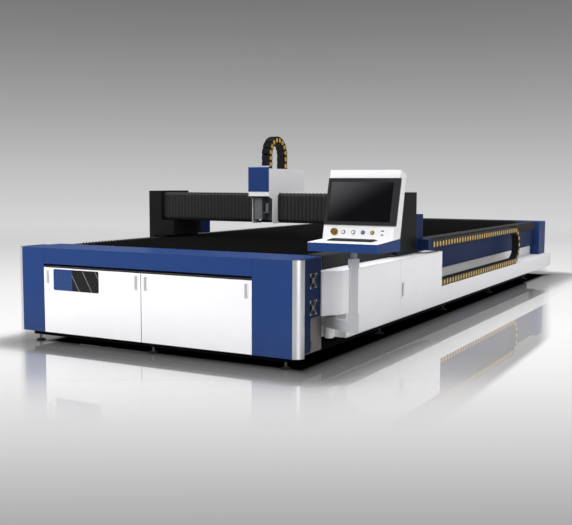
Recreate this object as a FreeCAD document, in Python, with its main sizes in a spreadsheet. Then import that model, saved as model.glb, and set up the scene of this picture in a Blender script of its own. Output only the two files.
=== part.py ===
"""Fiber laser cutting machine with an open gantry, built in millimetres.

+X is the operator's side, +Y runs from the scrap drawers to the rear end and +Z is up.
The origin is on the floor, under the middle levelling foot of the front row.
"""
import FreeCAD, Part
import math
import os
import Sketcher

doc = FreeCAD.newDocument("laser_cutter")
sheet = doc.addObject("Spreadsheet::Sheet", "sizes")


# ---------------------------------------------------------------- sizes

class Size:
    """A length kept both as a number and as the spreadsheet expression that gives it."""

    def __init__(self, text, number):
        self.text = text
        self.number = float(number)

    def __add__(self, other):
        return Size(f"({self.text} + {text_of(other)})", self.number + number_of(other))

    def __radd__(self, other):
        return Size(f"({text_of(other)} + {self.text})", number_of(other) + self.number)

    def __sub__(self, other):
        return Size(f"({self.text} - {text_of(other)})", self.number - number_of(other))

    def __rsub__(self, other):
        return Size(f"({text_of(other)} - {self.text})", number_of(other) - self.number)

    def __mul__(self, other):
        return Size(f"({self.text} * {text_of(other)})", self.number * number_of(other))

    __rmul__ = __mul__

    def __truediv__(self, other):
        return Size(f"({self.text} / {text_of(other)})", self.number / number_of(other))

    def __neg__(self):
        return Size(f"(0 - {self.text})", -self.number)


def text_of(value):
    return value.text if isinstance(value, Size) else repr(value)


def number_of(value):
    return value.number if isinstance(value, Size) else value


def sine(angle):
    return Size(f"sin({angle.text})", math.sin(math.radians(angle.number)))


def cosine(angle):
    return Size(f"cos({angle.text})", math.cos(math.radians(angle.number)))


def size(alias, number, note):
    """Write one driving size into the next row of the sheet and return it."""
    row = size.row
    size.row = row + 1
    sheet.set(f"A{row}", note)
    sheet.set(f"B{row}", str(number))
    sheet.setAlias(f"B{row}", alias)
    return Size(f"sizes.{alias}", number)


size.row = 1

touch_gap = size("touch_gap", 0.3, "gap left between pieces that move past each other")
fit_gap = size("fit_gap", 0.06, "radial running clearance of a pin or stem")
sheet_wall = size("sheet_wall", 4, "sheet thickness of the large covers")
thin_wall = size("thin_wall", 3, "sheet thickness of the small covers")
foot_height = size("foot_height", 60, "floor to the underside of the base frame")
skid_height = size("skid_height", 40, "height of the base frame's tubes")
front_plane = size("front_plane", -100, "front face of the drawers and fascia")
housing_lap = size("housing_lap", 1, "front housing beyond the side beams on each side")
housing_top = size("housing_top", 855, "top of the front housing above the floor")
housing_depth = size("housing_depth", 490, "depth of the front housing")
column_radius = size("column_radius", 69, "radius of the rounded corner columns")
drawer_left_edge = size("drawer_left_edge", -1131, "left edge of the drawer opening")
drawer_split = size("drawer_split", -46, "line where the two drawer fronts meet")
drawer_right_edge = size("drawer_right_edge", 1033, "right edge of the drawer opening")
drawer_top = size("drawer_top", 695, "top edge of the drawer fronts")
fascia_bottom = size("fascia_bottom", 715, "lower edge of the fascia above the drawers")
front_gap = size("front_gap", 2, "gap round each drawer front")
front_thickness = size("front_thickness", 20, "thickness of a drawer front")
bin_inset = size("bin_inset", 20, "distance from a drawer front's side to its bin")
bin_top = size("bin_top", 600, "top edge of the scrap bins")
bin_depth = size("bin_depth", 440, "depth of the scrap bins")
handle_width = size("handle_width", 38, "width of a recessed drawer handle")
handle_height = size("handle_height", 115, "height of a recessed drawer handle")
handle_depth = size("handle_depth", 14, "depth of a recessed drawer handle")
handle_inset = size("handle_inset", 47, "drawer side to the middle of its handle")
handle_level = size("handle_level", 598, "middle of the drawer handles above the floor")
cover_split = size("cover_split", 400, "step in the end covers above the floor")
cover_bottom = size("cover_bottom", 134, "lower edge of the end covers")
cover_rear = size("cover_rear", 239, "rear edge of the end covers' upper part")
cover_foot_rear = size("cover_foot_rear", 68, "rear edge of the end covers' lower part")
fan_side = size("fan_side", 120, "side of the square fan housings")
fan_depth = size("fan_depth", 38, "depth of the fan housings")
fan_bore = size("fan_bore", 56, "radius of the fans' air duct")
fan_hub = size("fan_hub", 20, "radius of the fans' hub")
fan_position = size("fan_position", 112, "fan axes behind the origin")
fan_level = size("fan_level", 476, "lower fan axis above the floor")
fan_pitch = size("fan_pitch", 209, "distance between the two fan axes")
bed_half = size("bed_half", 1389, "half width of the bed over its side beams")
bed_rear = size("bed_rear", 7540, "rear end of the side beams")
beam_width = size("beam_width", 160, "width of the side beams")
beam_bottom = size("beam_bottom", 518, "underside of the side beams")
beam_top = size("beam_top", 745, "top of the side beams")
tube_wall = size("tube_wall", 10, "wall of the bed's rectangular tubes")
row_pitch = size("row_pitch", 1850, "distance between the rows of legs and feet")
leg_side = size("leg_side", 80, "side of the bed's square legs and cross tubes")
side_wall_step = size("side_wall_step", 59, "side beam's face to the lower side wall's")
side_wall_bottom = size("side_wall_bottom", 197, "lower edge of side walls, tray and cabinet")
side_wall_sheet = size("side_wall_sheet", 10, "thickness of the lower side walls")
rear_depth = size("rear_depth", 390, "depth of the rear cover")
rear_top = size("rear_top", 865, "top of the rear cover")
tray_top = size("tray_top", 374, "top of the cable chain's tray")
cabinet_depth = size("cabinet_depth", 186, "side cabinet and tray beyond the side beam")
tray_rear = size("tray_rear", 7830, "rear end of the tray")
slat_step = size("slat_step", 174, "side beam's face to the slat table's side")
slat_frame = size("slat_frame", 10, "thickness of the slat table's frame bars")
slat_frame_top = size("slat_frame_top", 825, "top of the slat table's frame")
slat_top = size("slat_top", 866, "tips of the support slats")
slat_bottom = size("slat_bottom", 765, "lower edge of the support slats")
slat_pitch = size("slat_pitch", 125, "distance between support slats")
slat_sheet = size("slat_sheet", 4, "thickness of a support slat")
tooth_drop = size("tooth_drop", 26, "depth of the notches between the slats' teeth")
rail_step = size("rail_step", 89, "side beam's face to the inner side of its guide rail")
rail_width = size("rail_width", 34, "width of the long guide rails")
rail_height = size("rail_height", 35, "height of the long guide rails")
rack_step = size("rack_step", 43, "side beam's face to the inner side of its rack")
rack_side = size("rack_side", 22, "side of the racks")
cabinet_setback = size("cabinet_setback", 76, "front housing to the side cabinet")
cabinet_rear = size("cabinet_rear", 2783, "rear end of the side cabinet")
cabinet_top = size("cabinet_top", 742, "top of the side cabinet")
door_split = size("door_split", 1629, "line where the cabinet doors meet")
door_gap = size("door_gap", 3, "gap round the cabinet doors")
door_thickness = size("door_thickness", 20, "thickness of a cabinet door")
door_rim = size("door_rim", 26, "width of the folded rim of a cabinet door")
hinge_inset = size("hinge_inset", 14, "end of a cabinet door to its pivot")
hinge_depth = size("hinge_depth", 8, "face of a cabinet door to its pivot")
pivot_radius = size("pivot_radius", 3.5, "radius of a cabinet door's pivot pins")
pivot_length = size("pivot_length", 14, "length of a cabinet door's pivot pins")
latch_offset = size("latch_offset", 71, "cabinet door latch behind the doors' seam")
latch_level = size("latch_level", 505, "pivot of the latch lever above the floor")
latch_length = size("latch_length", 104, "length of the latch lever below its pivot")
latch_width = size("latch_width", 24, "width of the latch lever")
latch_pin = size("latch_pin", 5, "radius of the latch lever's pivot")
junction_length = size("junction_length", 225, "length of the junction box")
junction_taper = size("junction_taper", 105, "slant of the junction box's outer face")
junction_flat = size("junction_flat", 76, "straight part of the junction box's outer face")
junction_bottom = size("junction_bottom", 396, "underside of the junction box")
junction_round = size("junction_round", 60, "bend radius of the junction box")
drive_width = size("drive_width", 110, "width of a servo drive")
drive_height = size("drive_height", 260, "height of a servo drive")
drive_depth = size("drive_depth", 100, "depth of a servo drive")
drive_pitch = size("drive_pitch", 260, "distance between servo drives")
drive_level = size("drive_level", 330, "underside of the servo drives")
gantry_front = size("gantry_front", 1838, "front of the gantry's end blocks")
block_depth = size("block_depth", 512, "depth of the gantry's end blocks")
leg_depth = size("leg_depth", 190, "depth of the gantry's legs")
gantry_step = size("gantry_step", 61, "gantry's outer face beyond the side beam's")
foot_reach = size("foot_reach", 264, "side beam's face to the inner face of the gantry's foot")
column_step = size("column_step", 100, "side beam's face to the inner face above the beam's seat")
gantry_bottom = size("gantry_bottom", 870, "underside of the gantry's ends")
skirt_gap = size("skirt_gap", 4, "side beam's face to the skirt beside it")
skirt_bottom = size("skirt_bottom", 764, "lower edge of the skirts beside the bed")
gantry_top = size("gantry_top", 1347, "top of the gantry's end blocks")
leg_top = size("leg_top", 1128, "top of the gantry's legs")
block_wall = size("block_wall", 12, "wall of the gantry's cast ends")
saddle_sheet = size("saddle_sheet", 12, "thickness of the plates on the long bearings")
bearing_length = size("bearing_length", 100, "length of a long bearing block")
bearing_side = size("bearing_side", 11, "bearing block beyond its rail on each side")
beam_setback = size("beam_setback", 122, "end blocks' front to the beam's front")
cross_depth = size("cross_depth", 280, "depth of the gantry beam")
cross_bottom = size("cross_bottom", 1030, "underside of the gantry beam")
cross_top = size("cross_top", 1320, "top of the gantry beam")
cap_sheet = size("cap_sheet", 6, "thickness of the beam's top strip and chain shelf")
short_rail_height = size("short_rail_height", 28, "height of the short guide rails")
short_rail_width = size("short_rail_width", 26, "width of the short guide rails")
short_rail_low = size("short_rail_low", 1085, "middle of the lower short rail")
short_rail_high = size("short_rail_high", 1265, "middle of the upper short rail")
short_rail_end = size("short_rail_end", 8, "end of the short rails to the end block")
bellows_depth = size("bellows_depth", 34, "depth of the beam's bellows")
bellows_gap = size("bellows_gap", 30, "beam's front to the back of its bellows")
bellows_high = size("bellows_high", 1335, "top edge of the beam's bellows")
fold_depth = size("fold_depth", 14, "depth of a bellows fold")
fold_crest = size("fold_crest", 4, "flat crest between two bellows folds")
fold_sheet = size("fold_sheet", 6, "stiffening behind the folds of the rail bellows")
cover_width = size("cover_width", 149, "width of the rail bellows")
cover_top = size("cover_top", 862, "top of the rail bellows")
carriage_left = size("carriage_left", -104, "left side of the head housing")
carriage_right = size("carriage_right", 133, "right side of the head housing")
carriage_lead = size("carriage_lead", 243, "head housing's front ahead of the beam")
carriage_tail = size("carriage_tail", 213, "head housing's rear behind the beam")
carriage_low = size("carriage_low", 1338, "underside of the head housing over the beam")
carriage_top = size("carriage_top", 1577, "top of the head housing")
cheek_setback = size("cheek_setback", 70, "housing's front to the cheeks' front edge")
cheek_low = size("cheek_low", 1028, "lower edge of the housing's cheeks")
cheek_bend = size("cheek_bend", 1272, "where the cheeks start to flare forward")
cheek_flare = size("cheek_flare", 1300, "where the flare reaches the housing's front")
plate_rise = size("plate_rise", 28, "head housing's front plate above its top")
plate_fold = size("plate_fold", 14, "depth of the front plate's folded top")
slide_lead = size("slide_lead", 62, "cross slide's face ahead of the beam")
slide_sheet = size("slide_sheet", 24, "thickness of the cross slide's plate")
lift_lead = size("lift_lead", 20, "lift plate's face ahead of the cross slide's")
lift_sheet = size("lift_sheet", 10, "thickness of the lift plate")
lift_low = size("lift_low", 1060, "lower edge of the lift plate")
lift_high = size("lift_high", 1342, "top edge of the lift plate")
head_left = size("head_left", -82, "left side of the cutting head")
head_width = size("head_width", 86, "width of the cutting head")
head_depth = size("head_depth", 78, "depth of the cutting head")
head_low = size("head_low", 1067, "underside of the cutting head")
head_high = size("head_high", 1289, "top of the cutting head")
valve_radius = size("valve_radius", 17, "radius of the gas valve beside the head")
valve_low = size("valve_low", 1138, "lower end of the gas valve")
valve_length = size("valve_length", 91, "length of the gas valve")
nozzle_radius = size("nozzle_radius", 20, "radius of the nozzle holder")
nozzle_tip = size("nozzle_tip", 5, "radius of the nozzle's tip")
nozzle_drop = size("nozzle_drop", 37, "nozzle tip below the cutting head")
chain_inset = size("chain_inset", 15, "long cable chain's outer face to the tray's edge")
chain_width = size("chain_width", 98, "width of the long cable chain")
chain_height = size("chain_height", 70, "height of the long cable chain's links")
chain_radius = size("chain_radius", 206, "bend radius of the long cable chain")
chain_bend = size("chain_bend", 5780, "middle of the long cable chain's bend")
link_length = size("link_length", 90, "length of a link of the long cable chain")
arch_left = size("arch_left", -6, "left side of the arched cable chain")
arch_width = size("arch_width", 92, "width of the arched cable chain")
arch_height = size("arch_height", 70, "height of the arched cable chain's links")
arch_radius = size("arch_radius", 155, "bend radius of the arched cable chain")
arch_setback = size("arch_setback", 123, "housing's front to the middle of the arched chain's front leg")
arch_level = size("arch_level", 1715, "middle of the arched chain's bend")
arch_link = size("arch_link", 60, "length of a link of the arched cable chain")
cross_chain_gap = size("cross_chain_gap", 10, "beam's rear to its cable chain")
cross_chain_width = size("cross_chain_width", 80, "width of the beam's cable chain")
cross_chain_height = size("cross_chain_height", 50, "height of the beam chain's links")
cross_chain_radius = size("cross_chain_radius", 105, "bend radius of the beam's cable chain")
cross_chain_bend = size("cross_chain_bend", -630, "middle of the beam chain's bend")
cross_link = size("cross_link", 55, "length of a link of the beam's cable chain")
chain_arm = size("chain_arm", 250, "reach of the cross slide's arm over the beam's chain")
pivot_inset = size("pivot_inset", 117, "cabinet's face to the swing arm's pivot")
pivot_lead = size("pivot_lead", 76, "swing arm's pivot ahead of the cabinet")
pivot_pin = size("pivot_pin", 12, "radius of the swing arm's pivot pin")
bearing_radius = size("bearing_radius", 34, "radius of the swing arm's bearing")
bearing_bottom = size("bearing_bottom", 200, "lower end of the swing arm's bearing")
arm_bottom = size("arm_bottom", 288, "underside of the swing arm")
arm_top = size("arm_top", 372, "top of the swing arm")
arm_width = size("arm_width", 60, "width of the swing arm")
arm_length = size("arm_length", 340, "pivot to post along the swing arm")
arm_angle = size("arm_angle", 30.8, "swing arm's angle ahead of the +X direction")
post_width = size("post_width", 62, "width of the console's post across the arm")
post_depth = size("post_depth", 36, "depth of the console's post along the arm")
sleeve_wall = size("sleeve_wall", 5.5, "wall of the sleeve that holds the post")
sleeve_bottom = size("sleeve_bottom", 288, "lower end of the post's sleeve")
sleeve_top = size("sleeve_top", 436, "top of the post's sleeve")
collar_bottom = size("collar_bottom", 791, "lower edge of the post's collar")
collar_top = size("collar_top", 860, "top of the post's collar")
spigot_radius = size("spigot_radius", 14, "radius of the console's spigot in the post")
neck_radius = size("neck_radius", 27, "radius of the console's neck")
tray_width = size("tray_width", 570, "width of the keyboard tray")
tray_reach = size("tray_reach", 216, "front of the keyboard tray ahead of the post")
tray_depth = size("tray_depth", 447, "depth of the keyboard tray")
tray_front_low = size("tray_front_low", 924, "keyboard tray's lower front edge")
tray_rear_low = size("tray_rear_low", 912, "keyboard tray's lower rear edge")
tray_front_high = size("tray_front_high", 992, "keyboard tray's upper front edge")
tray_slope = size("tray_slope", 2.7, "slope of the keyboard tray's top in degrees")
tray_round = size("tray_round", 22, "corner radius of the keyboard tray")
console_tilt = size("console_tilt", 15.1, "lean of the console's face in degrees")
console_half = size("console_half", 296, "half width of the console's case")
console_shift = size("console_shift", -9, "console case's middle beside its post")
console_foot = size("console_foot", 290, "foot of the console's face behind the tray's front")
console_height = size("console_height", 553, "console's face along its slope")
console_depth = size("console_depth", 140, "depth of the console's case at its foot")
console_crown = size("console_crown", 122, "depth of the console's case at its top")
console_heel = size("console_heel", 52, "rise of the case's underside towards its back")
screen_low = size("screen_low", 110, "lower edge of the screen along the slope")
screen_high = size("screen_high", 483, "top edge of the screen along the slope")
screen_half = size("screen_half", 303, "half width of the screen's frame")
screen_proud = size("screen_proud", 18, "screen frame in front of the case")
screen_back = size("screen_back", 45, "screen behind the case's face")
screen_body = size("screen_body", 262, "half width of the screen behind the face")
button_row = size("button_row", 56, "row of buttons along the slope")
stop_radius = size("stop_radius", 24, "radius of the emergency stop's cap")
button_radius = size("button_radius", 11, "radius of a push button's cap")
stem_radius = size("stem_radius", 8, "radius of the buttons' stems")
button_ring = size("button_ring", 15.5, "outer radius of a push button's ring")
button_travel = size("button_travel", 3, "travel of a push button")
stop_travel = size("stop_travel", 5, "travel of the emergency stop")
keyboard_width = size("keyboard_width", 370, "width of the keyboard")
keyboard_lead = size("keyboard_lead", 125, "tray's front edge to the keyboard's")
keyboard_depth = size("keyboard_depth", 105, "depth of the keyboard")
keyboard_height = size("keyboard_height", 8, "height of the keyboard's case")
key_height = size("key_height", 4, "height of the keys above the case")
key_pitch = size("key_pitch", 17, "distance between rows of keys")

FOOT_ROWS = 5
SLATS = 56
SLAT_TEETH = 6
FRONT_FOLDS = 26
REAR_FOLDS = 48
BEAM_FOLDS = 28
DRIVES = 6
FAN_BLADES = 7
KEY_ROWS = 5
BEND_LINKS = 9
BUTTONS = {"start_button": -131, "pause_button": -46, "follow_button": 34, "power_button": 113}
STOP_OFFSET = -208

ground = foot_height + skid_height
housing_rear = front_plane + housing_depth
housing_half = bed_half + housing_lap
side_wall_half = bed_half - side_wall_step
tray_half = bed_half + cabinet_depth
slat_half = bed_half - slat_step
rail_inner = bed_half - rail_step
rack_inner = bed_half - rack_step
cover_inner = bed_half - cover_width
gantry_half = bed_half + gantry_step
gantry_foot = bed_half - foot_reach
column_inner = bed_half - column_step
skirt_inner = bed_half + skirt_gap
gantry_middle = gantry_front + block_depth
gantry_rear = gantry_middle + leg_depth
cross_front = gantry_front + beam_setback
cross_rear = cross_front + cross_depth
bellows_back = cross_front - bellows_gap
bellows_face = bellows_back - bellows_depth
carriage_front = cross_front - carriage_lead
carriage_rear = cross_rear + carriage_tail
cheek_front = carriage_front + cheek_setback
slide_face = cross_front - slide_lead
lift_face = slide_face - lift_lead
head_front = lift_face - head_depth
chain_inner = tray_half - chain_inset - chain_width
arch_front = carriage_front + arch_setback
cross_chain_front = cross_rear + cross_chain_gap
cabinet_front = housing_rear + cabinet_setback
latch_position = door_split + latch_offset
junction_front = cabinet_front - junction_length
junction_nose = tray_half - junction_taper
junction_bend = cabinet_front - junction_flat
pivot_x = tray_half - pivot_inset
pivot_y = cabinet_front - pivot_lead
slat_front = housing_rear + 10
slat_rear = bed_rear - 10
rear_end = bed_rear + rear_depth
bellows_low = cross_bottom + touch_gap
tray_left = side_wall_half
chain_low = tray_top + touch_gap + chain_height / 2
chain_high = chain_low + 2 * chain_radius
arm_drop = -arm_angle
post_x = pivot_x + arm_length * cosine(arm_angle)
post_y = pivot_y - arm_length * sine(arm_angle)
tray_front = post_y - tray_reach
tray_rise = tray_depth * sine(tray_slope) / cosine(tray_slope)
arch_rear = arch_front + 2 * arch_radius
cross_chain_low = cross_bottom + cap_sheet + touch_gap + cross_chain_height / 2
cross_chain_high = cross_chain_low + 2 * cross_chain_radius
doc.recompute()

pieces = []


# ---------------------------------------------------------------- helpers

def bind(item, **cells):
    """Bind properties of an object; a double underscore in a name stands for a dot."""
    for name, value in cells.items():
        item.setExpression(name.replace("__", "."), text_of(value))
    return item


def keep(item, name):
    """Name an object as a finished piece of the machine."""
    item.Label = name
    pieces.append(item)
    return item


def box(name, x_low, x_high, y_low, y_high, z_low, z_high):
    item = doc.addObject("Part::Box", name)
    bind(item, Length=x_high - x_low, Width=y_high - y_low, Height=z_high - z_low)
    bind(item, Placement__Base__x=x_low, Placement__Base__y=y_low, Placement__Base__z=z_low)
    return item


def rod(name, radius, x, y, z_low, z_high):
    """An upright cylinder."""
    item = doc.addObject("Part::Cylinder", name)
    bind(item, Radius=radius, Height=z_high - z_low)
    bind(item, Placement__Base__x=x, Placement__Base__y=y, Placement__Base__z=z_low)
    return item


def turn(item, axis, angle, x, y, z):
    """Turn a finished object about an axis through its own zero point, then move that point."""
    item.Placement = FreeCAD.Placement(FreeCAD.Vector(), FreeCAD.Rotation(FreeCAD.Vector(*axis), 1))
    bind(item, Placement__Rotation__Angle=angle)
    bind(item, Placement__Base__x=x, Placement__Base__y=y, Placement__Base__z=z)
    return item


def ordered(first, second):
    """Two sizes, the lower one first."""
    return (first, second) if first.number < second.number else (second, first)


def fuse(name, *items):
    item = doc.addObject("Part::MultiFuse", name)
    item.Shapes = list(items)
    item.Refine = True
    return item


def cut(name, base, *tools):
    item = doc.addObject("Part::Cut", name)
    item.Base = base
    item.Tool = tools[0] if len(tools) == 1 else fuse(name + "_tools", *tools)
    item.Refine = True
    return item


def group(name, *items):
    """Separate solids that share one file, as like pieces do."""
    item = doc.addObject("Part::Compound", name)
    item.Links = list(items)
    return item


def new_body(name):
    item = doc.addObject("PartDesign::Body", name)
    if hasattr(item, "AllowCompound"):
        item.AllowCompound = True
    return item


def datum(body, role):
    """A plane or an axis of the body's own origin."""
    return next(item for item in body.Origin.OriginFeatures if item.Role == role)


def rectangle(a_low, a_high, b_low, b_high):
    return [(a_low, b_low), (a_high, b_low), (a_high, b_high), (a_low, b_high)]


def circle(a, b, radius):
    return {"centre": (a, b), "radius": radius}


def hold_point(sketch, curve, end, point):
    """Hold one point of a curve at a pair of sizes from the sketch's origin."""
    for kind, value in zip(("DistanceX", "DistanceY"), point):
        rule = Sketcher.Constraint(kind, -1, 1, curve, end, number_of(value))
        index = sketch.addConstraint(rule)
        if isinstance(value, Size):
            sketch.setExpression(f"Constraints[{index}]", value.text)


def draw(sketch, outline):
    """Add one closed outline, a list of corners or a circle, and dimension it."""
    if isinstance(outline, dict):
        centre = FreeCAD.Vector(*map(number_of, outline["centre"]), 0)
        radius = number_of(outline["radius"])
        curve = sketch.addGeometry(Part.Circle(centre, FreeCAD.Vector(0, 0, 1), radius), False)
        hold_point(sketch, curve, 3, outline["centre"])
        index = sketch.addConstraint(Sketcher.Constraint("Radius", curve, radius))
        if isinstance(outline["radius"], Size):
            sketch.setExpression(f"Constraints[{index}]", outline["radius"].text)
        return
    corners = [FreeCAD.Vector(number_of(a), number_of(b), 0) for a, b in outline]
    lines = [Part.LineSegment(a, b) for a, b in zip(corners, corners[1:] + corners[:1])]
    first = sketch.GeometryCount
    sketch.addGeometry(lines, False)
    count = len(outline)
    for step in range(count):
        after = first + (step + 1) % count
        sketch.addConstraint(Sketcher.Constraint("Coincident", first + step, 2, after, 1))
    for step, point in enumerate(outline):
        hold_point(sketch, first + step, 1, point)


def sketch_on(body, plane, offset, outlines):
    """A sketch on one of the body's own origin planes, moved along the plane's normal."""
    sketch = body.newObject("Sketcher::SketchObject", body.Name + "_sketch")
    sketch.AttachmentSupport = [(datum(body, plane + "_Plane"), "")]
    sketch.MapMode = "FlatFace"
    bind(sketch, AttachmentOffset__Base__z=offset)
    for outline in outlines:
        draw(sketch, outline)
    return sketch


def pad(body, plane, low, high, *outlines):
    """Extrude outlines between two coordinates along the plane's axis; XZ looks along +Y."""
    offset = -high if plane == "XZ" else low
    feature = body.newObject("PartDesign::Pad", body.Name + "_pad")
    feature.Profile = sketch_on(body, plane, offset, outlines)
    bind(feature, Length=high - low)
    return feature


def pocket(body, plane, low, high, *outlines):
    """Cut outlines away between two coordinates along the plane's axis."""
    offset = -low if plane == "XZ" else high
    feature = body.newObject("PartDesign::Pocket", body.Name + "_pocket")
    feature.Profile = sketch_on(body, plane, offset, outlines)
    bind(feature, Length=high - low)
    return feature


def repeat(body, features, axis, pitch, count):
    """Repeat one feature, or a list of them, along one of the body's axes."""
    pattern = body.newObject("PartDesign::LinearPattern", body.Name + "_pattern")
    pattern.Originals = features if isinstance(features, list) else [features]
    pattern.Direction = (datum(body, axis + "_Axis"), [""])
    pattern.Mode = 1
    bind(pattern, Offset=pitch)
    pattern.Occurrences = round(count)
    body.Tip = pattern
    return pattern


def round_upright(body, feature, radius, x, y):
    """Round the upright edge of a feature that stands at x, y."""
    doc.recompute()
    names = []
    for number, edge in enumerate(feature.Shape.Edges, 1):
        middle = edge.BoundBox.Center
        upright = edge.BoundBox.ZLength > edge.BoundBox.XLength + edge.BoundBox.YLength + 1
        if upright and abs(middle.x - number_of(x)) < 0.1 and abs(middle.y - number_of(y)) < 0.1:
            names.append(f"Edge{number}")
    fillet = body.newObject("PartDesign::Fillet", body.Name + "_fillet")
    fillet.Base = (feature, names)
    bind(fillet, Radius=radius)
    return fillet


# ---------------------------------------------------------------- bed

def bed_frame():
    """Weldment of tubes: base frame on the floor side, legs, side beams and cross beams."""
    skid_outer = side_wall_half - side_wall_sheet
    skid_inner = skid_outer - leg_side
    beam_inner = bed_half - beam_width
    half = leg_side / 2
    last = (FOOT_ROWS - 1) * row_pitch
    tubes = []
    for side in (-1, 1):
        low, high = ordered(side * skid_inner, side * skid_outer)
        tubes.append(box("skid", low, high, -half, last + half, foot_height, ground))
        for row in range(FOOT_ROWS):
            front = row * row_pitch - half if row else housing_rear
            tubes.append(box("leg", low, high, front, front + leg_side, ground, beam_bottom))
        low, high = ordered(side * beam_inner, side * bed_half)
        shell = box("side_beam", low, high, housing_rear, bed_rear, beam_bottom, beam_top)
        hollow = box("beam_hollow", low + tube_wall, high - tube_wall, housing_rear, bed_rear,
                     beam_bottom + tube_wall, beam_top - tube_wall)
        tubes.append(cut("beam_tube", shell, hollow))
    for row in range(FOOT_ROWS):
        middle = row * row_pitch
        tubes.append(box("base_tube", -skid_inner, skid_inner, middle - half, middle + half,
                         foot_height, ground))
        front = middle - half if row else housing_rear
        low = slat_bottom - leg_side if row else beam_bottom
        tubes.append(box("girder", -beam_inner, beam_inner, front, front + leg_side,
                         low, slat_bottom))
    return keep(group("bed_frame", *tubes), "bed_frame")


def levelling_feet():
    """A round pad and a threaded stud under each crossing of the base frame."""
    feet = []
    pad_height = foot_height / 4
    lines = (-(side_wall_half - side_wall_sheet - leg_side / 2), Size("0", 0),
             side_wall_half - side_wall_sheet - leg_side / 2)
    for row in range(FOOT_ROWS):
        for line in lines:
            disc = doc.addObject("Part::Cone", "foot_pad")
            bind(disc, Radius1=foot_height * 0.8, Radius2=foot_height * 0.5, Height=pad_height)
            bind(disc, Placement__Base__x=line, Placement__Base__y=row * row_pitch)
            stud = doc.addObject("Part::Prism", "foot_stud")
            stud.Polygon = 6
            bind(stud, Circumradius=foot_height / 5, Height=foot_height - pad_height)
            bind(stud, Placement__Base__x=line, Placement__Base__y=row * row_pitch,
                 Placement__Base__z=pad_height)
            feet.append(fuse("foot", disc, stud))
    return keep(group("levelling_feet", *feet), "levelling_feet")


def side_wall(name, side):
    """Lower wall that closes the bed from the base frame up to the side beam."""
    outer = side * side_wall_half
    inner = side * (side_wall_half - side_wall_sheet)
    low, high = (inner, outer) if side > 0 else (outer, inner)
    body = new_body(name)
    pad(body, "XZ", housing_rear, bed_rear, rectangle(low, high, side_wall_bottom, beam_bottom))
    return keep(body, name)


def front_housing():
    """Folded housing round the scrap drawers, open at the front and the rear."""
    body = new_body("front_housing")
    pad(body, "XZ", front_plane, housing_rear,
        rectangle(-housing_half, housing_half, ground, housing_top))
    pocket(body, "XZ", front_plane + sheet_wall, housing_rear,
           rectangle(-housing_half + sheet_wall, housing_half - sheet_wall,
                     ground + sheet_wall, housing_top - sheet_wall))
    pocket(body, "XZ", front_plane, front_plane + front_thickness + front_gap,
           rectangle(drawer_left_edge, drawer_right_edge, ground, fascia_bottom))
    return keep(body, "front_housing")


def corner_columns():
    """Quarter-round extrusions that join the fascia to the end covers."""
    posts = []
    for side, start in ((1, -90), (-1, 180)):
        solids = []
        for radius, top in ((column_radius, housing_top),
                            (column_radius - sheet_wall, housing_top - sheet_wall)):
            quarter = rod("column_quarter", radius, side * housing_half,
                          front_plane + column_radius, ground, top)
            quarter.Angle = 90
            quarter.Placement.Rotation = FreeCAD.Rotation(FreeCAD.Vector(0, 0, 1), start)
            solids.append(quarter)
        posts.append(cut("column", *solids))
    return keep(group("corner_columns", *posts), "corner_columns")


def end_cover(name, side, with_fans):
    """Folded cover behind a corner column; the right one has two fan openings."""
    front = front_plane + column_radius
    outer = housing_half + column_radius
    body = new_body(name)
    outline = [(front, cover_bottom), (cover_foot_rear, cover_bottom),
               (cover_foot_rear, cover_split), (cover_rear, cover_split),
               (cover_rear, housing_top), (front, housing_top)]
    inner = [(front + sheet_wall, cover_bottom + sheet_wall),
             (cover_foot_rear - sheet_wall, cover_bottom + sheet_wall),
             (cover_foot_rear - sheet_wall, cover_split + sheet_wall),
             (cover_rear - sheet_wall, cover_split + sheet_wall),
             (cover_rear - sheet_wall, housing_top - sheet_wall),
             (front + sheet_wall, housing_top - sheet_wall)]
    if side > 0:
        pad(body, "YZ", housing_half, outer, outline)
        pocket(body, "YZ", housing_half, outer - sheet_wall, inner)
    else:
        pad(body, "YZ", -outer, -housing_half, outline)
        pocket(body, "YZ", sheet_wall - outer, -housing_half, inner)
    if with_fans:
        half = fan_side / 2 - sheet_wall / 2
        for step in range(2):
            level = fan_level + step * fan_pitch
            pocket(body, "YZ", outer - sheet_wall, outer,
                   rectangle(fan_position - half, fan_position + half,
                             level - half, level + half))
    return keep(body, name)


def fan_units():
    """Two square fan housings with a duct, rear struts and a diagonal finger guard."""
    units = []
    face = housing_half + column_radius - sheet_wall
    back = face - fan_depth
    half = fan_side / 2
    for step in range(2):
        level = fan_level + step * fan_pitch
        block = box("fan_block", back, face, fan_position - half, fan_position + half,
                    level - half, level + half)
        duct = doc.addObject("Part::Cylinder", "fan_duct")
        bind(duct, Radius=fan_bore, Height=fan_depth)
        turn(duct, (0, 1, 0), Size("90", 90), back, fan_position, level)
        frame = cut("fan_frame", block, duct)
        struts = [box("fan_strut", back, back + thin_wall, fan_position - half,
                      fan_position + half, level - thin_wall, level + thin_wall)]
        for angle in (45, 135):
            bar = doc.addObject("Part::Box", "guard_bar")
            bind(bar, Length=sheet_wall, Width=fan_side * 1.3, Height=2 * thin_wall)
            shift = -fan_side * 0.65
            turn(bar, (1, 0, 0), Size(str(angle), angle), face,
                 fan_position + shift * math.cos(math.radians(angle))
                 + thin_wall * math.sin(math.radians(angle)),
                 level + shift * math.sin(math.radians(angle))
                 - thin_wall * math.cos(math.radians(angle)))
            struts.append(bar)
        hub = doc.addObject("Part::Cylinder", "guard_hub")
        bind(hub, Radius=fan_hub, Height=sheet_wall)
        turn(hub, (0, 1, 0), Size("90", 90), face, fan_position, level)
        units.append(fuse("fan_unit", frame, hub, *struts))
    return keep(group("fan_units", *units), "fan_units")


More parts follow.
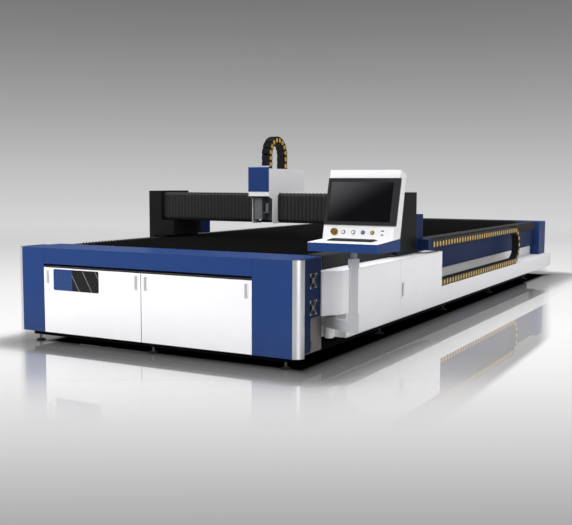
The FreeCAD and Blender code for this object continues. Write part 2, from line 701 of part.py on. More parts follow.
def fan_rotor(name, step):
    """Hub with flat pitched blades that turns inside its duct."""
    face = housing_half + column_radius - sheet_wall
    back = face - fan_depth + thin_wall + touch_gap
    level = fan_level + step * fan_pitch
    depth = fan_depth - 3 * thin_wall
    hub = doc.addObject("Part::Cylinder", "rotor_hub")
    bind(hub, Radius=fan_hub, Height=depth)
    items = [hub]
    for blade in range(FAN_BLADES):
        wing = doc.addObject("Part::Box", "rotor_blade")
        bind(wing, Length=fan_bore - 2 - fan_hub / 2, Width=thin_wall / 2, Height=depth * 0.9)
        spin = FreeCAD.Rotation(FreeCAD.Vector(0, 0, 1), 360 / FAN_BLADES * blade)
        pitch = FreeCAD.Rotation(FreeCAD.Vector(1, 0, 0), 35)
        wing.Placement = FreeCAD.Placement(FreeCAD.Vector(), spin.multiply(pitch))
        root = spin.multVec(FreeCAD.Vector(number_of(fan_hub) / 2, 6, 0))
        wing.Placement.Base = FreeCAD.Vector(root.x, root.y, 1.5)
        items.append(wing)
    rotor = fuse(name, *items)
    turn(rotor, (0, 1, 0), Size("90", 90), back, fan_position, level)
    return keep(rotor, name)


def rear_cover():
    """Folded end of the bed, which steps in below the level of the chain tray."""
    outer = housing_half + column_radius
    body = new_body("rear_cover")
    outline = [(-side_wall_half, side_wall_bottom), (side_wall_half, side_wall_bottom),
               (side_wall_half, tray_top), (outer, tray_top), (outer, rear_top),
               (-outer, rear_top), (-outer, tray_top), (-side_wall_half, tray_top)]
    pad(body, "XZ", bed_rear, rear_end, outline)
    pocket(body, "XZ", bed_rear + sheet_wall, rear_end - sheet_wall,
           rectangle(sheet_wall - side_wall_half, side_wall_half - sheet_wall,
                     side_wall_bottom, rear_top - sheet_wall))
    pocket(body, "XZ", bed_rear + sheet_wall, rear_end - sheet_wall,
           rectangle(sheet_wall - outer, outer - sheet_wall,
                     tray_top + sheet_wall, rear_top - sheet_wall))
    return keep(body, "rear_cover")


def chain_tray():
    """Folded shelf along the bed on which the long cable chain lies."""
    body = new_body("chain_tray")
    section = [(tray_left, tray_top), (tray_half, tray_top), (tray_half, side_wall_bottom),
               (tray_half - sheet_wall, side_wall_bottom),
               (tray_half - sheet_wall, tray_top - sheet_wall),
               (tray_left, tray_top - sheet_wall)]
    pad(body, "XZ", cabinet_rear, tray_rear, section)
    pad(body, "XZ", tray_rear - sheet_wall, tray_rear,
        rectangle(tray_left, tray_half, side_wall_bottom, tray_top))
    return keep(body, "chain_tray")


def slat_table():
    """Frame with upright toothed slats across the bed that carry the sheet to be cut."""
    body = new_body("slat_table")
    inner = slat_half - slat_frame
    pad(body, "XY", slat_bottom, slat_frame_top,
        rectangle(-slat_half, slat_half, slat_front, slat_rear),
        rectangle(-inner, inner, slat_front + slat_frame, slat_rear - slat_frame))
    outline = [(-inner, slat_bottom), (inner, slat_bottom)]
    pitch = 2 * inner / SLAT_TEETH
    for tooth in range(SLAT_TEETH):
        right = inner - tooth * pitch
        outline.append((right, slat_top - tooth_drop))
        outline.append((right - pitch / 2, slat_top))
    outline.append((-inner, slat_top - tooth_drop))
    first = slat_front + slat_frame + slat_pitch / 2
    slat = pad(body, "XZ", first, first + slat_sheet, outline)
    repeat(body, slat, "Y", slat_pitch, SLATS)
    return keep(body, "slat_table")


def long_rails():
    """Guide rails and racks on top of both side beams."""
    items = []
    start = housing_rear + slat_frame
    end = bed_rear - slat_frame
    for side in (-1, 1):
        for inner, width, height in ((rail_inner, rail_width, rail_height),
                                     (rack_inner, rack_side, rack_side)):
            low = inner if side > 0 else -inner - width
            items.append(box("long_bar", low, low + width, start, end,
                             beam_top, beam_top + height))
    return keep(group("long_rails", *items), "long_rails")


def drawer(name, left, right):
    """White front with a folded scrap bin welded behind it."""
    body = new_body(name)
    low = ground + touch_gap + sheet_wall
    back = front_plane + front_thickness
    pad(body, "XZ", front_plane, back, rectangle(left, right, ground + front_gap, drawer_top))
    pad(body, "XZ", back, back + bin_depth,
        rectangle(left + bin_inset, right - bin_inset, low, bin_top))
    pocket(body, "XY", low + thin_wall, bin_top,
           rectangle(left + bin_inset + thin_wall, right - bin_inset - thin_wall,
                     back, back + bin_depth - thin_wall))
    half = handle_width / 2
    for middle in (left + handle_inset, right - handle_inset):
        pocket(body, "XZ", front_plane, front_plane + handle_depth,
               rectangle(middle - half, middle + half, handle_level - handle_height / 2,
                         handle_level + handle_height / 2))
    return keep(body, name)


def drawer_handles(name, left, right):
    """Two recessed cups set flush into a drawer front."""
    cups = []
    half = handle_width / 2
    low = handle_level - handle_height / 2
    high = handle_level + handle_height / 2
    for middle in (left + handle_inset, right - handle_inset):
        block = box("cup_block", middle - half, middle + half,
                    front_plane, front_plane + handle_depth, low, high)
        hollow = box("cup_hollow", middle - half + thin_wall, middle + half - thin_wall,
                     front_plane, front_plane + handle_depth - thin_wall,
                     low + thin_wall, high - thin_wall)
        grip = box("cup_grip", middle - half, middle - half / 4,
                   front_plane, front_plane + thin_wall, low, high)
        cups.append(fuse("cup", cut("cup_shell", block, hollow), grip))
    return keep(group(name, *cups), name)


# ---------------------------------------------------------------- side cabinet

def door_pivots():
    """Middle of each door's pivot in plan."""
    x = tray_half - hinge_depth
    return {"cabinet_door_front": (x, cabinet_front + thin_wall + door_gap + hinge_inset),
            "cabinet_door_rear": (x, cabinet_rear - thin_wall - door_gap - hinge_inset)}


def cabinet_body():
    """Electrical cabinet on the bed's side, open to the outside behind its doors."""
    body = new_body("cabinet_body")
    pad(body, "XZ", cabinet_front, cabinet_rear,
        rectangle(bed_half, tray_half, side_wall_bottom, cabinet_top))
    low = side_wall_bottom + thin_wall
    high = cabinet_top - thin_wall
    pocket(body, "YZ", bed_half + thin_wall, tray_half,
           rectangle(cabinet_front + thin_wall, cabinet_rear - thin_wall, low, high))
    pins = [circle(x, y, pivot_radius) for x, y in door_pivots().values()]
    pad(body, "XY", low, low + pivot_length, *pins)
    pad(body, "XY", high - pivot_length, high, *pins)
    return keep(body, "cabinet_body")


def cabinet_door(name, front, rear):
    """Folded door leaf with holes for its pivot pins; the rear one carries the latch plate."""
    body = new_body(name)
    inner = tray_half - door_thickness
    low = side_wall_bottom + thin_wall + door_gap
    high = cabinet_top - thin_wall - door_gap
    pad(body, "YZ", inner, tray_half, rectangle(front, rear, low, high))
    pocket(body, "YZ", inner, tray_half - thin_wall,
           rectangle(front + door_rim, rear - door_rim, low + door_rim, high - door_rim))
    x, y = door_pivots()[name]
    hole = circle(x, y, pivot_radius + fit_gap)
    pocket(body, "XY", low, low + pivot_length, hole)
    pocket(body, "XY", high - pivot_length, high, hole)
    if name == "cabinet_door_rear":
        half = latch_width * 0.75
        pad(body, "YZ", tray_half, tray_half + thin_wall / 2,
            rectangle(latch_position - half, latch_position + half,
                      latch_level - latch_length - half / 2, latch_level + half))
        pad(body, "YZ", tray_half + thin_wall / 2, tray_half + thin_wall * 4,
            circle(latch_position, latch_level, latch_pin))
    return keep(body, name)


def door_latch():
    """Swing lever that turns on the latch plate of the rear door."""
    body = new_body("door_latch")
    face = tray_half + thin_wall / 2 + touch_gap
    half = latch_width / 2
    pad(body, "YZ", face, face + thin_wall * 3,
        [(latch_position - half, latch_level + half), (latch_position - half * 0.7,
          latch_level - latch_length), (latch_position + half * 0.7,
          latch_level - latch_length), (latch_position + half, latch_level + half)],
        circle(latch_position, latch_level, latch_pin + fit_gap))
    return keep(body, "door_latch")


def drive_panel():
    """Mounting plate in the cabinet with a row of servo drives and two wiring ducts."""
    body = new_body("drive_panel")
    back = bed_half + thin_wall
    face = back + thin_wall
    front = cabinet_front + door_rim * 3
    rear = cabinet_rear - door_rim * 3
    low = side_wall_bottom + door_rim
    high = cabinet_top - door_rim
    pad(body, "YZ", back, face, rectangle(front, rear, low, high))
    drive = pad(body, "YZ", face, face + drive_depth,
                rectangle(front + drive_width, front + 2 * drive_width,
                          drive_level, drive_level + drive_height))
    repeat(body, drive, "Y", drive_pitch, DRIVES)
    duct = drive_width * 0.4
    pad(body, "YZ", face, face + duct,
        rectangle(front + duct, rear - duct, low + duct / 2, low + duct * 1.5),
        rectangle(front + duct, rear - duct, high - duct * 1.5, high - duct / 2))
    return keep(body, "drive_panel")


def junction_box():
    """Box ahead of the cabinet whose outer face slants in towards the end cover."""
    body = new_body("junction_box")
    outline = [(housing_half, junction_front), (junction_nose, junction_front),
               (tray_half, junction_bend), (tray_half, cabinet_front),
               (housing_half, cabinet_front)]
    solid = pad(body, "XY", junction_bottom, cabinet_top, outline)
    round_upright(body, solid, junction_round, tray_half, junction_bend)
    inner = [(housing_half + thin_wall, junction_front + thin_wall),
             (junction_nose - thin_wall, junction_front + thin_wall),
             (tray_half - 3 * thin_wall, junction_bend),
             (tray_half - 3 * thin_wall, cabinet_front - thin_wall),
             (housing_half + thin_wall, cabinet_front - thin_wall)]
    pocket(body, "XY", junction_bottom, cabinet_top - thin_wall, inner)
    return keep(body, "junction_box")


# ---------------------------------------------------------------- gantry

def gantry_end(name, side):
    """Cast end block that stands over the side beam and takes the beam's end."""
    body = new_body(name)
    outline = [(gantry_foot, gantry_bottom), (skirt_inner, gantry_bottom),
               (skirt_inner, skirt_bottom), (gantry_half, skirt_bottom),
               (gantry_half, gantry_top), (column_inner, gantry_top),
               (column_inner, cross_bottom), (gantry_foot, cross_bottom)]
    pad(body, "XZ", gantry_front, gantry_middle, [(side * x, z) for x, z in outline])
    hollow = rectangle(side * (column_inner + block_wall), side * (gantry_half - block_wall),
                       gantry_front + block_wall, gantry_middle - block_wall)
    pocket(body, "XY", gantry_bottom, gantry_top - block_wall, hollow)
    foot = rectangle(side * (gantry_foot + block_wall), side * (column_inner - block_wall),
                     gantry_front + block_wall, gantry_middle - block_wall)
    pocket(body, "XY", gantry_bottom, cross_bottom - block_wall, foot)
    return keep(body, name)


def gantry_leg(name, side, with_bracket):
    """Box behind the end block that holds the drive; the right one carries the chain."""
    body = new_body(name)
    outline = [(gantry_foot, gantry_bottom), (skirt_inner, gantry_bottom),
               (skirt_inner, skirt_bottom), (gantry_half, skirt_bottom),
               (gantry_half, leg_top), (gantry_foot, leg_top)]
    pad(body, "XZ", gantry_middle, gantry_rear, [(side * x, z) for x, z in outline])
    hollow = rectangle(side * (gantry_foot + block_wall), side * (gantry_half - block_wall * 5),
                       gantry_middle + block_wall, gantry_rear - block_wall)
    pocket(body, "XY", gantry_bottom, leg_top - block_wall, hollow)
    if with_bracket:
        low = chain_high - chain_height / 2 - block_wall
        high = chain_high + chain_height / 2 + block_wall * 2
        pad(body, "XZ", gantry_rear - chain_width * 1.4, gantry_rear,
            rectangle(gantry_half, chain_inner + chain_width, low, high))
    return keep(body, name)


def gantry_saddles():
    """Plates under the gantry's ends with two bearing blocks each on the long rails."""
    saddles = []
    rail_top = beam_top + rail_height
    plate_low = gantry_bottom - saddle_sheet
    for side in (-1, 1):
        inner = rail_inner if side > 0 else -rail_inner - rail_width
        plate_inner = cover_inner if side > 0 else -bed_half
        items = [box("saddle_plate", plate_inner, plate_inner + bed_half - cover_inner,
                     gantry_front + block_wall, gantry_rear - block_wall,
                     plate_low, gantry_bottom)]
        for start in (gantry_front + block_wall, gantry_rear - block_wall - bearing_length):
            block = box("bearing", inner - bearing_side, inner + rail_width + bearing_side,
                        start, start + bearing_length, beam_top + rail_height / 3, plate_low)
            groove = box("bearing_groove", inner - touch_gap, inner + rail_width + touch_gap,
                         start, start + bearing_length, beam_top, rail_top + touch_gap)
            items.append(cut("bearing_block", block, groove))
        saddles.append(fuse("saddle", *items))
    return keep(group("gantry_saddles", *saddles), "gantry_saddles")


def gantry_beam():
    """Rectangular tube between the end blocks with a top strip and a chain shelf behind."""
    body = new_body("gantry_beam")
    pad(body, "YZ", -column_inner, column_inner,
        rectangle(cross_front, cross_rear, cross_bottom, cross_top),
        rectangle(cross_front + block_wall, cross_rear - block_wall,
                  cross_bottom + block_wall, cross_top - block_wall))
    pad(body, "YZ", -column_inner, column_inner,
        rectangle(bellows_back + touch_gap, cross_rear, cross_top, cross_top + cap_sheet))
    pad(body, "YZ", -column_inner, column_inner,
        rectangle(cross_rear, cross_chain_front + cross_chain_width + cap_sheet,
                  cross_bottom, cross_bottom + cap_sheet))
    return keep(body, "gantry_beam")


def cross_rails():
    """Two guide rails and a rack on the front of the gantry beam."""
    end = column_inner - short_rail_end
    half = short_rail_width / 2
    bars = []
    for level in (short_rail_low, short_rail_high):
        bars.append(box("short_rail", -end, end, cross_front - short_rail_height, cross_front,
                        level - half, level + half))
    middle = (short_rail_low + short_rail_high) / 2
    bars.append(box("short_rack", -end, end, cross_front - rack_side, cross_front,
                    middle - rack_side / 2, middle + rack_side / 2))
    return keep(group("cross_rails", *bars), "cross_rails")


# ---------------------------------------------------------------- carriage and head

def cross_slide():
    """Plate on the short rails with bearing blocks, lift rails and the chains' anchors."""
    body = new_body("cross_slide")
    left = carriage_left + thin_wall
    right = carriage_right - thin_wall
    back = slide_face + slide_sheet
    top = carriage_low + block_wall
    pad(body, "XZ", slide_face, back, rectangle(left, right, cheek_low + 7, top))
    groove_face = cross_front - short_rail_height - touch_gap
    half = short_rail_width / 2 + touch_gap
    for level in (short_rail_low, short_rail_high):
        outer = level - half - bearing_side
        claw = [(back, outer), (cross_front - thin_wall, outer),
                (cross_front - thin_wall, level - half), (groove_face, level - half),
                (groove_face, level + half), (cross_front - thin_wall, level + half),
                (cross_front - thin_wall, level + half + bearing_side),
                (back, level + half + bearing_side)]
        pad(body, "YZ", left + block_wall, right - block_wall, claw)
    pad(body, "YZ", left, right,
        rectangle(back, cross_chain_front + cross_chain_width, carriage_low + 2, top))
    pad(body, "XZ", lift_face + lift_sheet + touch_gap, slide_face,
        rectangle(left + block_wall * 2, left + block_wall * 4, cheek_low + 20, top),
        rectangle(right - block_wall * 4, right - block_wall * 2, cheek_low + 20, top))
    anchor_low = cross_chain_high - cross_chain_height / 2
    pad(body, "XZ", cross_chain_front, cross_chain_front + cross_chain_width,
        rectangle(left, left + block_wall * 2, anchor_low, carriage_low + 2),
        [(left, top), (left - chain_arm, top), (left - chain_arm, top + block_wall),
         (left, top + block_wall * 4)])
    return keep(body, "cross_slide")


def head_housing():
    """White folded cover over the carriage with two cheeks beside the cutting head."""
    body = new_body("head_housing")
    outline = [(carriage_front, carriage_top), (carriage_front, cheek_flare),
               (cheek_front, cheek_bend), (cheek_front, cheek_low),
               (bellows_back - 4, cheek_low), (bellows_back - 4, carriage_low),
               (carriage_rear, carriage_low), (carriage_rear, carriage_top)]
    pad(body, "YZ", carriage_left, carriage_right, outline)
    plate_low = cheek_flare + thin_wall
    inner = [(carriage_front + thin_wall, carriage_top - thin_wall),
             (carriage_front + thin_wall, plate_low), (carriage_front - 20, plate_low),
             (carriage_front - 20, cheek_low - 20), (bellows_back + 20, cheek_low - 20),
             (bellows_back + 20, carriage_low - 20), (carriage_rear - thin_wall, carriage_low - 20),
             (carriage_rear - thin_wall, carriage_top - thin_wall)]
    pocket(body, "YZ", carriage_left + thin_wall, carriage_right - thin_wall, inner)
    slot_half = arch_height / 2 + thin_wall
    pocket(body, "XY", carriage_top - thin_wall, carriage_top,
           rectangle(arch_left - thin_wall, arch_left + arch_width + thin_wall,
                     arch_front - slot_half, arch_front + slot_half))
    pocket(body, "YZ", carriage_left, carriage_left + thin_wall,
           rectangle(cross_chain_front - thin_wall,
                     cross_chain_front + cross_chain_width + thin_wall,
                     carriage_low, carriage_low + 70))
    return keep(body, "head_housing")


def head_front_plate():
    """Blue plate on the front of the head housing."""
    body = new_body("head_front_plate")
    face = carriage_front - 2 * thin_wall
    back = carriage_front + plate_fold
    low = cheek_flare + 47
    top = carriage_top + plate_rise
    pad(body, "YZ", carriage_left, carriage_right,
        [(face, low), (face, top - plate_fold), (face + plate_fold, top), (back, top),
         (back, carriage_top), (carriage_front, carriage_top), (carriage_front, low)])
    return keep(body, "head_front_plate")


def lift_plate():
    """Plate that carries the cutting head up and down, with the arched chain's anchor."""
    body = new_body("lift_plate")
    left = carriage_left + block_wall
    right = carriage_right - block_wall
    pad(body, "XZ", lift_face, lift_face + lift_sheet, rectangle(left, right, lift_low, lift_high))
    pad(body, "XY", lift_high, lift_high + lift_sheet,
        rectangle(arch_left, arch_left + arch_width,
                  arch_front - arch_height / 2, lift_face + lift_sheet))
    return keep(body, "lift_plate")


def cutting_head():
    """Flat head body with the gas valve on a small shelf beside it."""
    shell = box("head_shell", head_left, head_left + head_width, head_front, lift_face,
                head_low, head_high)
    lens = box("lens_drawer", head_left + 8, head_left + head_width - 8,
               head_front - 4, head_front, head_low + 30, head_low + 70)
    valve_x = head_left + head_width + 2 * valve_radius + valve_radius
    valve = rod("valve", valve_radius, valve_x, head_front + valve_radius + 4,
                valve_low, valve_low + valve_length)
    shelf = box("valve_shelf", head_left + head_width, valve_x + valve_radius,
                head_front + valve_radius, lift_face, valve_low - 8, valve_low)
    return keep(fuse("cutting_head", shell, lens, valve, shelf), "cutting_head")


def nozzle():
    """Turned nozzle holder and nozzle under the cutting head."""
    body = new_body("nozzle")
    middle = head_left + head_width / 2
    tip = head_low - nozzle_drop
    profile = [(0, head_low), (nozzle_radius, head_low), (nozzle_radius, head_low - 14),
               (nozzle_radius * 0.7, head_low - 17), (nozzle_tip, tip), (0, tip)]
    sketch = sketch_on(body, "XZ", 0, [profile])
    turned = body.newObject("PartDesign::Revolution", "nozzle_turned")
    turned.Profile = sketch
    turned.ReferenceAxis = (sketch, ["V_Axis"])
    turned.Angle = 360
    bind(body, Placement__Base__x=middle, Placement__Base__y=(head_front + lift_face) / 2)
    return keep(body, "nozzle")


# ---------------------------------------------------------------- bellows

def notch(low, crest, pitch, across_high, across_low):
    """V-shaped groove between two crests, as a triangle on a sketch."""
    return [(low + crest, across_high), (low + pitch, across_high),
            (low + (crest + pitch) / 2, across_low)]


def swapped(outline):
    """The same outline with its two coordinates exchanged."""
    return [(b, a) for a, b in outline]


def rail_bellows_side(name, side, start, end, folds):
    """Folded cover over one side beam, open below round the rail and the rack."""
    body = new_body(name)
    low = beam_top + touch_gap
    shell = fold_depth + fold_sheet
    inner = side * cover_inner
    outer = side * bed_half
    section = [(inner, low), (side * (cover_inner + shell), low),
               (side * (cover_inner + shell), cover_top - shell),
               (side * (bed_half - shell), cover_top - shell),
               (side * (bed_half - shell), low), (outer, low),
               (outer, cover_top), (inner, cover_top)]
    pad(body, "XZ", start, end, section)
    pitch = (end - start) / folds
    top = notch(start, fold_crest, pitch, cover_top, cover_top - fold_depth)
    left = notch(start, fold_crest, pitch, inner, side * (cover_inner + fold_depth))
    right = notch(start, fold_crest, pitch, outer, side * (bed_half - fold_depth))
    low_x, high_x = (cover_inner, bed_half) if side > 0 else (-bed_half, -cover_inner)
    grooves = [pocket(body, "YZ", low_x, high_x, top),
               pocket(body, "XY", low, cover_top, swapped(left), swapped(right))]
    repeat(body, grooves, "Y", pitch, folds)
    return body


def rail_bellows(name, start, end, folds):
    """The two covers, left and right, on one side of the gantry."""
    covers = [rail_bellows_side(name + "_side", side, start, end, folds) for side in (-1, 1)]
    return keep(group(name, *covers), name)


def beam_bellows(name, left, right):
    """Folded cover on the front of the gantry beam, beside the head housing."""
    body = new_body(name)
    pad(body, "YZ", left, right, rectangle(bellows_face, bellows_back, bellows_low, bellows_high))
    pitch = (right - left) / BEAM_FOLDS
    front = notch(left, fold_crest, pitch, bellows_face, bellows_face + fold_depth)
    bottom = notch(left, fold_crest, pitch, bellows_low, bellows_low + fold_depth)
    top = notch(left, fold_crest, pitch, bellows_high, bellows_high - fold_depth / 4)
    grooves = [pocket(body, "XY", bellows_low, bellows_high, front),
               pocket(body, "XZ", bellows_face, bellows_back, bottom, top)]
    repeat(body, grooves, "X", pitch, BEAM_FOLDS)
    return keep(body, name)


# ---------------------------------------------------------------- cable chains

def run_outline(length, height, link, count_from):
    """Outline of a straight stretch of chain along its length, notched at every link."""
    half = height / 2
    notch = height * 0.12
    count = max(1, round(length / link))
    pitch = length / count
    upper = [(0, half)]
    for step in range(count_from, count):
        upper += [(step * pitch - notch, half), (step * pitch, half - notch),
                  (step * pitch + notch, half)]
    upper.append((length, half))
    lower = [(along, -across) for along, across in reversed(upper)]
    return upper + lower


def bend_outline(radius, height):
    """Outline of the half-round bend of a chain, with one flat facet for each link."""
    inner = radius - height / 2
    outer = radius + height / 2
    points = []
    for arc_radius, steps in ((outer, range(BEND_LINKS + 1)),
                              (inner, range(BEND_LINKS, -1, -1))):
        for step in steps:
            angle = math.pi * step / BEND_LINKS
            points.append((arc_radius * math.sin(angle), arc_radius * math.cos(angle)))
    return points


def extruded(points, across):
    """Solid from an outline of vectors, extruded along a vector."""
    face = Part.Face(Part.makePolygon(points + points[:1]))
    return face.extrude(across)


def long_chain():
    """Cable chain beside the bed: upper run from the gantry, lower run on the tray."""
    across = FreeCAD.Vector(number_of(chain_width), 0, 0)
    x = number_of(chain_inner)
    height = number_of(chain_height)
    runs = []
    for start, level in ((gantry_rear, chain_high), (cabinet_rear, chain_low)):
        length = number_of(chain_bend) - number_of(start)
        outline = run_outline(length, height, number_of(link_length), 1)
        points = [FreeCAD.Vector(x, number_of(start) + a, number_of(level) + b) for a, b in outline]
        runs.append(extruded(points, across))
    item = doc.addObject("Part::Feature", "long_chain_runs")
    item.Shape = Part.makeCompound(runs)
    keep(item, "long_chain_runs")
    middle = (number_of(chain_low) + number_of(chain_high)) / 2
    points = [FreeCAD.Vector(x, number_of(chain_bend) + a, middle + b)
              for a, b in bend_outline(number_of(chain_radius), height)]
    bend = doc.addObject("Part::Feature", "long_chain_bend")
    bend.Shape = extruded(points, across)
    return keep(bend, "long_chain_bend")


def arched_chain():
    """Cable chain that arches over the head housing: front leg to the head, rear leg fixed."""
    across = FreeCAD.Vector(number_of(arch_width), 0, 0)
    x = number_of(arch_left)
    height = number_of(arch_height)
    legs = []
    for y, start in ((arch_front, lift_high + lift_sheet), (arch_rear, carriage_top)):
        length = number_of(arch_level) - number_of(start)
        outline = run_outline(length, height, number_of(arch_link), 1)
        points = [FreeCAD.Vector(x, number_of(y) + b, number_of(start) + a) for a, b in outline]
        legs.append(extruded(points, across))
    item = doc.addObject("Part::Feature", "arched_chain_legs")
    item.Shape = Part.makeCompound(legs)
    keep(item, "arched_chain_legs")
    middle = (number_of(arch_front) + number_of(arch_rear)) / 2
    points = [FreeCAD.Vector(x, middle + b, number_of(arch_level) + a)
              for a, b in bend_outline(number_of(arch_radius), height)]
    bend = doc.addObject("Part::Feature", "arched_chain_bend")
    bend.Shape = extruded(points, across)
    return keep(bend, "arched_chain_bend")


def cross_chain():
    """Cable chain behind the gantry beam: upper run to the carriage, lower run on the shelf."""
    across = FreeCAD.Vector(0, number_of(cross_chain_width), 0)
    y = number_of(cross_chain_front)
    height = number_of(cross_chain_height)
    runs = []
    for end, level in ((carriage_left + thin_wall, cross_chain_high), (0, cross_chain_low)):
        length = number_of(end) - number_of(cross_chain_bend)
        outline = run_outline(length, height, number_of(cross_link), 1)
        points = [FreeCAD.Vector(number_of(end) - a, y, number_of(level) + b) for a, b in outline]
        runs.append(extruded(points, across))
    item = doc.addObject("Part::Feature", "cross_chain_runs")
    item.Shape = Part.makeCompound(runs)
    keep(item, "cross_chain_runs")
    middle = (number_of(cross_chain_low) + number_of(cross_chain_high)) / 2
    points = [FreeCAD.Vector(number_of(cross_chain_bend) - a, y, middle + b)
              for a, b in bend_outline(number_of(cross_chain_radius), height)]
    bend = doc.addObject("Part::Feature", "cross_chain_bend")
    bend.Shape = extruded(points, across)
    return keep(bend, "cross_chain_bend")


# ---------------------------------------------------------------- console

def console_bracket():
    """Bracket on the cabinet's front end with the swing arm's bearing and pivot pin."""
    gap = touch_gap
    plate = box("bracket_plate", pivot_x - bearing_radius * 3, pivot_x + bearing_radius,
                cabinet_front - 10, cabinet_front, bearing_bottom, junction_bottom - 10)
    bearing = rod("bracket_bearing", bearing_radius, pivot_x, pivot_y,
                  bearing_bottom, arm_bottom - gap)
    web = box("bracket_web", pivot_x - bearing_radius * 0.7, pivot_x + bearing_radius * 0.7,
              pivot_y, cabinet_front - 10, bearing_bottom, arm_bottom - gap)
    stay = rod("bracket_stay", bearing_radius * 0.75, pivot_x - bearing_radius * 2.4, pivot_y + 32,
               bearing_bottom, arm_bottom - gap)
    stay_web = box("bracket_stay_web", pivot_x - bearing_radius * 2.9,
                   pivot_x - bearing_radius * 1.9, pivot_y + 32, cabinet_front - 10,
                   bearing_bottom, arm_bottom - gap)
    pin = rod("bracket_pin", pivot_pin, pivot_x, pivot_y, arm_bottom - gap, arm_top - 10)
    return keep(fuse("console_bracket", plate, bearing, web, stay, stay_web, pin),
                "console_bracket")


def console_arm():
    """Rectangular swing arm with its hub at the pivot and a sleeve for the post."""
    half = arm_width / 2
    origin = Size("0", 0)
    tube = box("arm_tube", origin, arm_length, -half, half, arm_bottom, arm_top)
    hub = rod("arm_hub", half, origin, origin, arm_bottom, arm_top)
    sleeve = post_block("arm_sleeve", sleeve_wall, sleeve_bottom, sleeve_top)
    hollow = box("arm_hollow", half, arm_length - post_depth / 2 - sleeve_wall,
                 thin_wall - half, half - thin_wall, arm_bottom + thin_wall, arm_top - thin_wall)
    pin_hole = rod("arm_pin_hole", pivot_pin + fit_gap, origin, origin,
                   arm_bottom, arm_top - thin_wall * 2)
    post_hole = post_block("arm_post_hole", origin, sleeve_bottom + thin_wall * 2, sleeve_top)
    arm = cut("console_arm", fuse("arm_solid", tube, hub, sleeve), hollow, pin_hole, post_hole)
    turn(arm, (0, 0, 1), arm_drop, pivot_x, pivot_y, origin)
    return keep(arm, "console_arm")


def post_block(name, wall, low, high):
    """Block round the post's section, placed at the end of an arm along +X."""
    deep = post_depth / 2 + wall
    wide = post_width / 2 + wall
    return box(name, arm_length - deep, arm_length + deep, -wide, wide, low, high)


def console_post():
    """Flat post with a collar and a bore in which the console turns."""
    origin = Size("0", 0)
    tube = post_block("post_tube", origin, sleeve_bottom + thin_wall * 2, collar_top)
    collar = post_block("post_collar", sleeve_wall, collar_bottom, collar_top)
    bore = rod("post_bore", spigot_radius + fit_gap, arm_length, origin,
               collar_bottom - 60, collar_top)
    post = cut("console_post", fuse("post_solid", tube, collar), bore)
    turn(post, (0, 0, 1), arm_drop, pivot_x, pivot_y, origin)
    return keep(post, "console_post")


def keyboard_tray():
    """Blue wedge-shaped tray on the console's neck."""
    body = new_body("keyboard_tray")
    half = tray_width / 2
    rear = tray_front + tray_depth
    high = tray_front_high - thin_wall
    outline = [(tray_front, tray_front_low), (rear, tray_rear_low),
               (rear, high + tray_rise), (tray_front, high)]
    pad(body, "YZ", post_x - half, post_x + half, outline)
    pocket(body, "XY", tray_front_low + thin_wall, tray_front_high + tray_rise,
           rectangle(post_x - half + thin_wall, post_x + half - thin_wall,
                     tray_front + thin_wall, rear - thin_wall))
    pad(body, "XY", collar_top + touch_gap, tray_front_low + thin_wall,
        circle(post_x, post_y, neck_radius))
    pad(body, "XY", collar_bottom - 50, collar_top + touch_gap,
        circle(post_x, post_y, spigot_radius))
    return keep(body, "keyboard_tray")


def on_face(along, deep):
    """Point of the console's side view, up the sloping face and back from it."""
    foot_y = tray_front + console_foot
    foot_z = tray_front_high + console_foot * sine(tray_slope) / cosine(tray_slope) - 2
    return (foot_y + along * sine(console_tilt) + deep * cosine(console_tilt),
            foot_z + along * cosine(console_tilt) - deep * sine(console_tilt))


def sloping(low, high, shallow, deep):
    """Rectangle in the console's side view between two heights and two depths."""
    return [on_face(low, shallow), on_face(high, shallow), on_face(high, deep),
            on_face(low, deep)]


def console_case():
    """White case: the tray's top sheet, the sloping control strip, header and back."""
    body = new_body("console_case")
    half = tray_width / 2
    rear = tray_front + tray_depth
    high = tray_front_high - thin_wall
    pad(body, "YZ", post_x - half, post_x + half,
        [(tray_front, high), (rear, high + tray_rise), (rear, high + tray_rise + thin_wall),
         (tray_front, high + thin_wall)])
    zero = Size("0", 0)
    left = post_x + console_shift - console_half
    right = post_x + console_shift + console_half
    pad(body, "YZ", left, right,
        [on_face(zero, zero), on_face(console_height, zero),
         on_face(console_height, console_crown), on_face(console_heel, console_depth)])
    heel = console_heel + thin_wall
    crest = console_height - thin_wall
    pocket(body, "YZ", left + thin_wall, right - thin_wall,
           [on_face(heel, thin_wall), on_face(crest, thin_wall),
            on_face(crest, console_crown - thin_wall), on_face(heel, console_depth - thin_wall)])
    pocket(body, "YZ", post_x - screen_body - touch_gap, post_x + screen_body + touch_gap,
           sloping(screen_low + 20 - touch_gap, screen_high - 20 + touch_gap,
                   Size("(0 - 10)", -10), screen_back))
    return body


def face_rod(name, radius, offset, shallow, deep):
    """Cylinder square to the console's face at an offset from its middle, in the button row."""
    item = doc.addObject("Part::Cylinder", name)
    bind(item, Radius=radius, Height=deep - shallow)
    y, z = on_face(button_row, shallow)
    item.Placement = FreeCAD.Placement(FreeCAD.Vector(), FreeCAD.Rotation(FreeCAD.Vector(-1, 0, 0), 1))
    bind(item, Placement__Rotation__Angle=90 + console_tilt)
    bind(item, Placement__Base__x=post_x + offset, Placement__Base__y=y, Placement__Base__z=z)
    return item


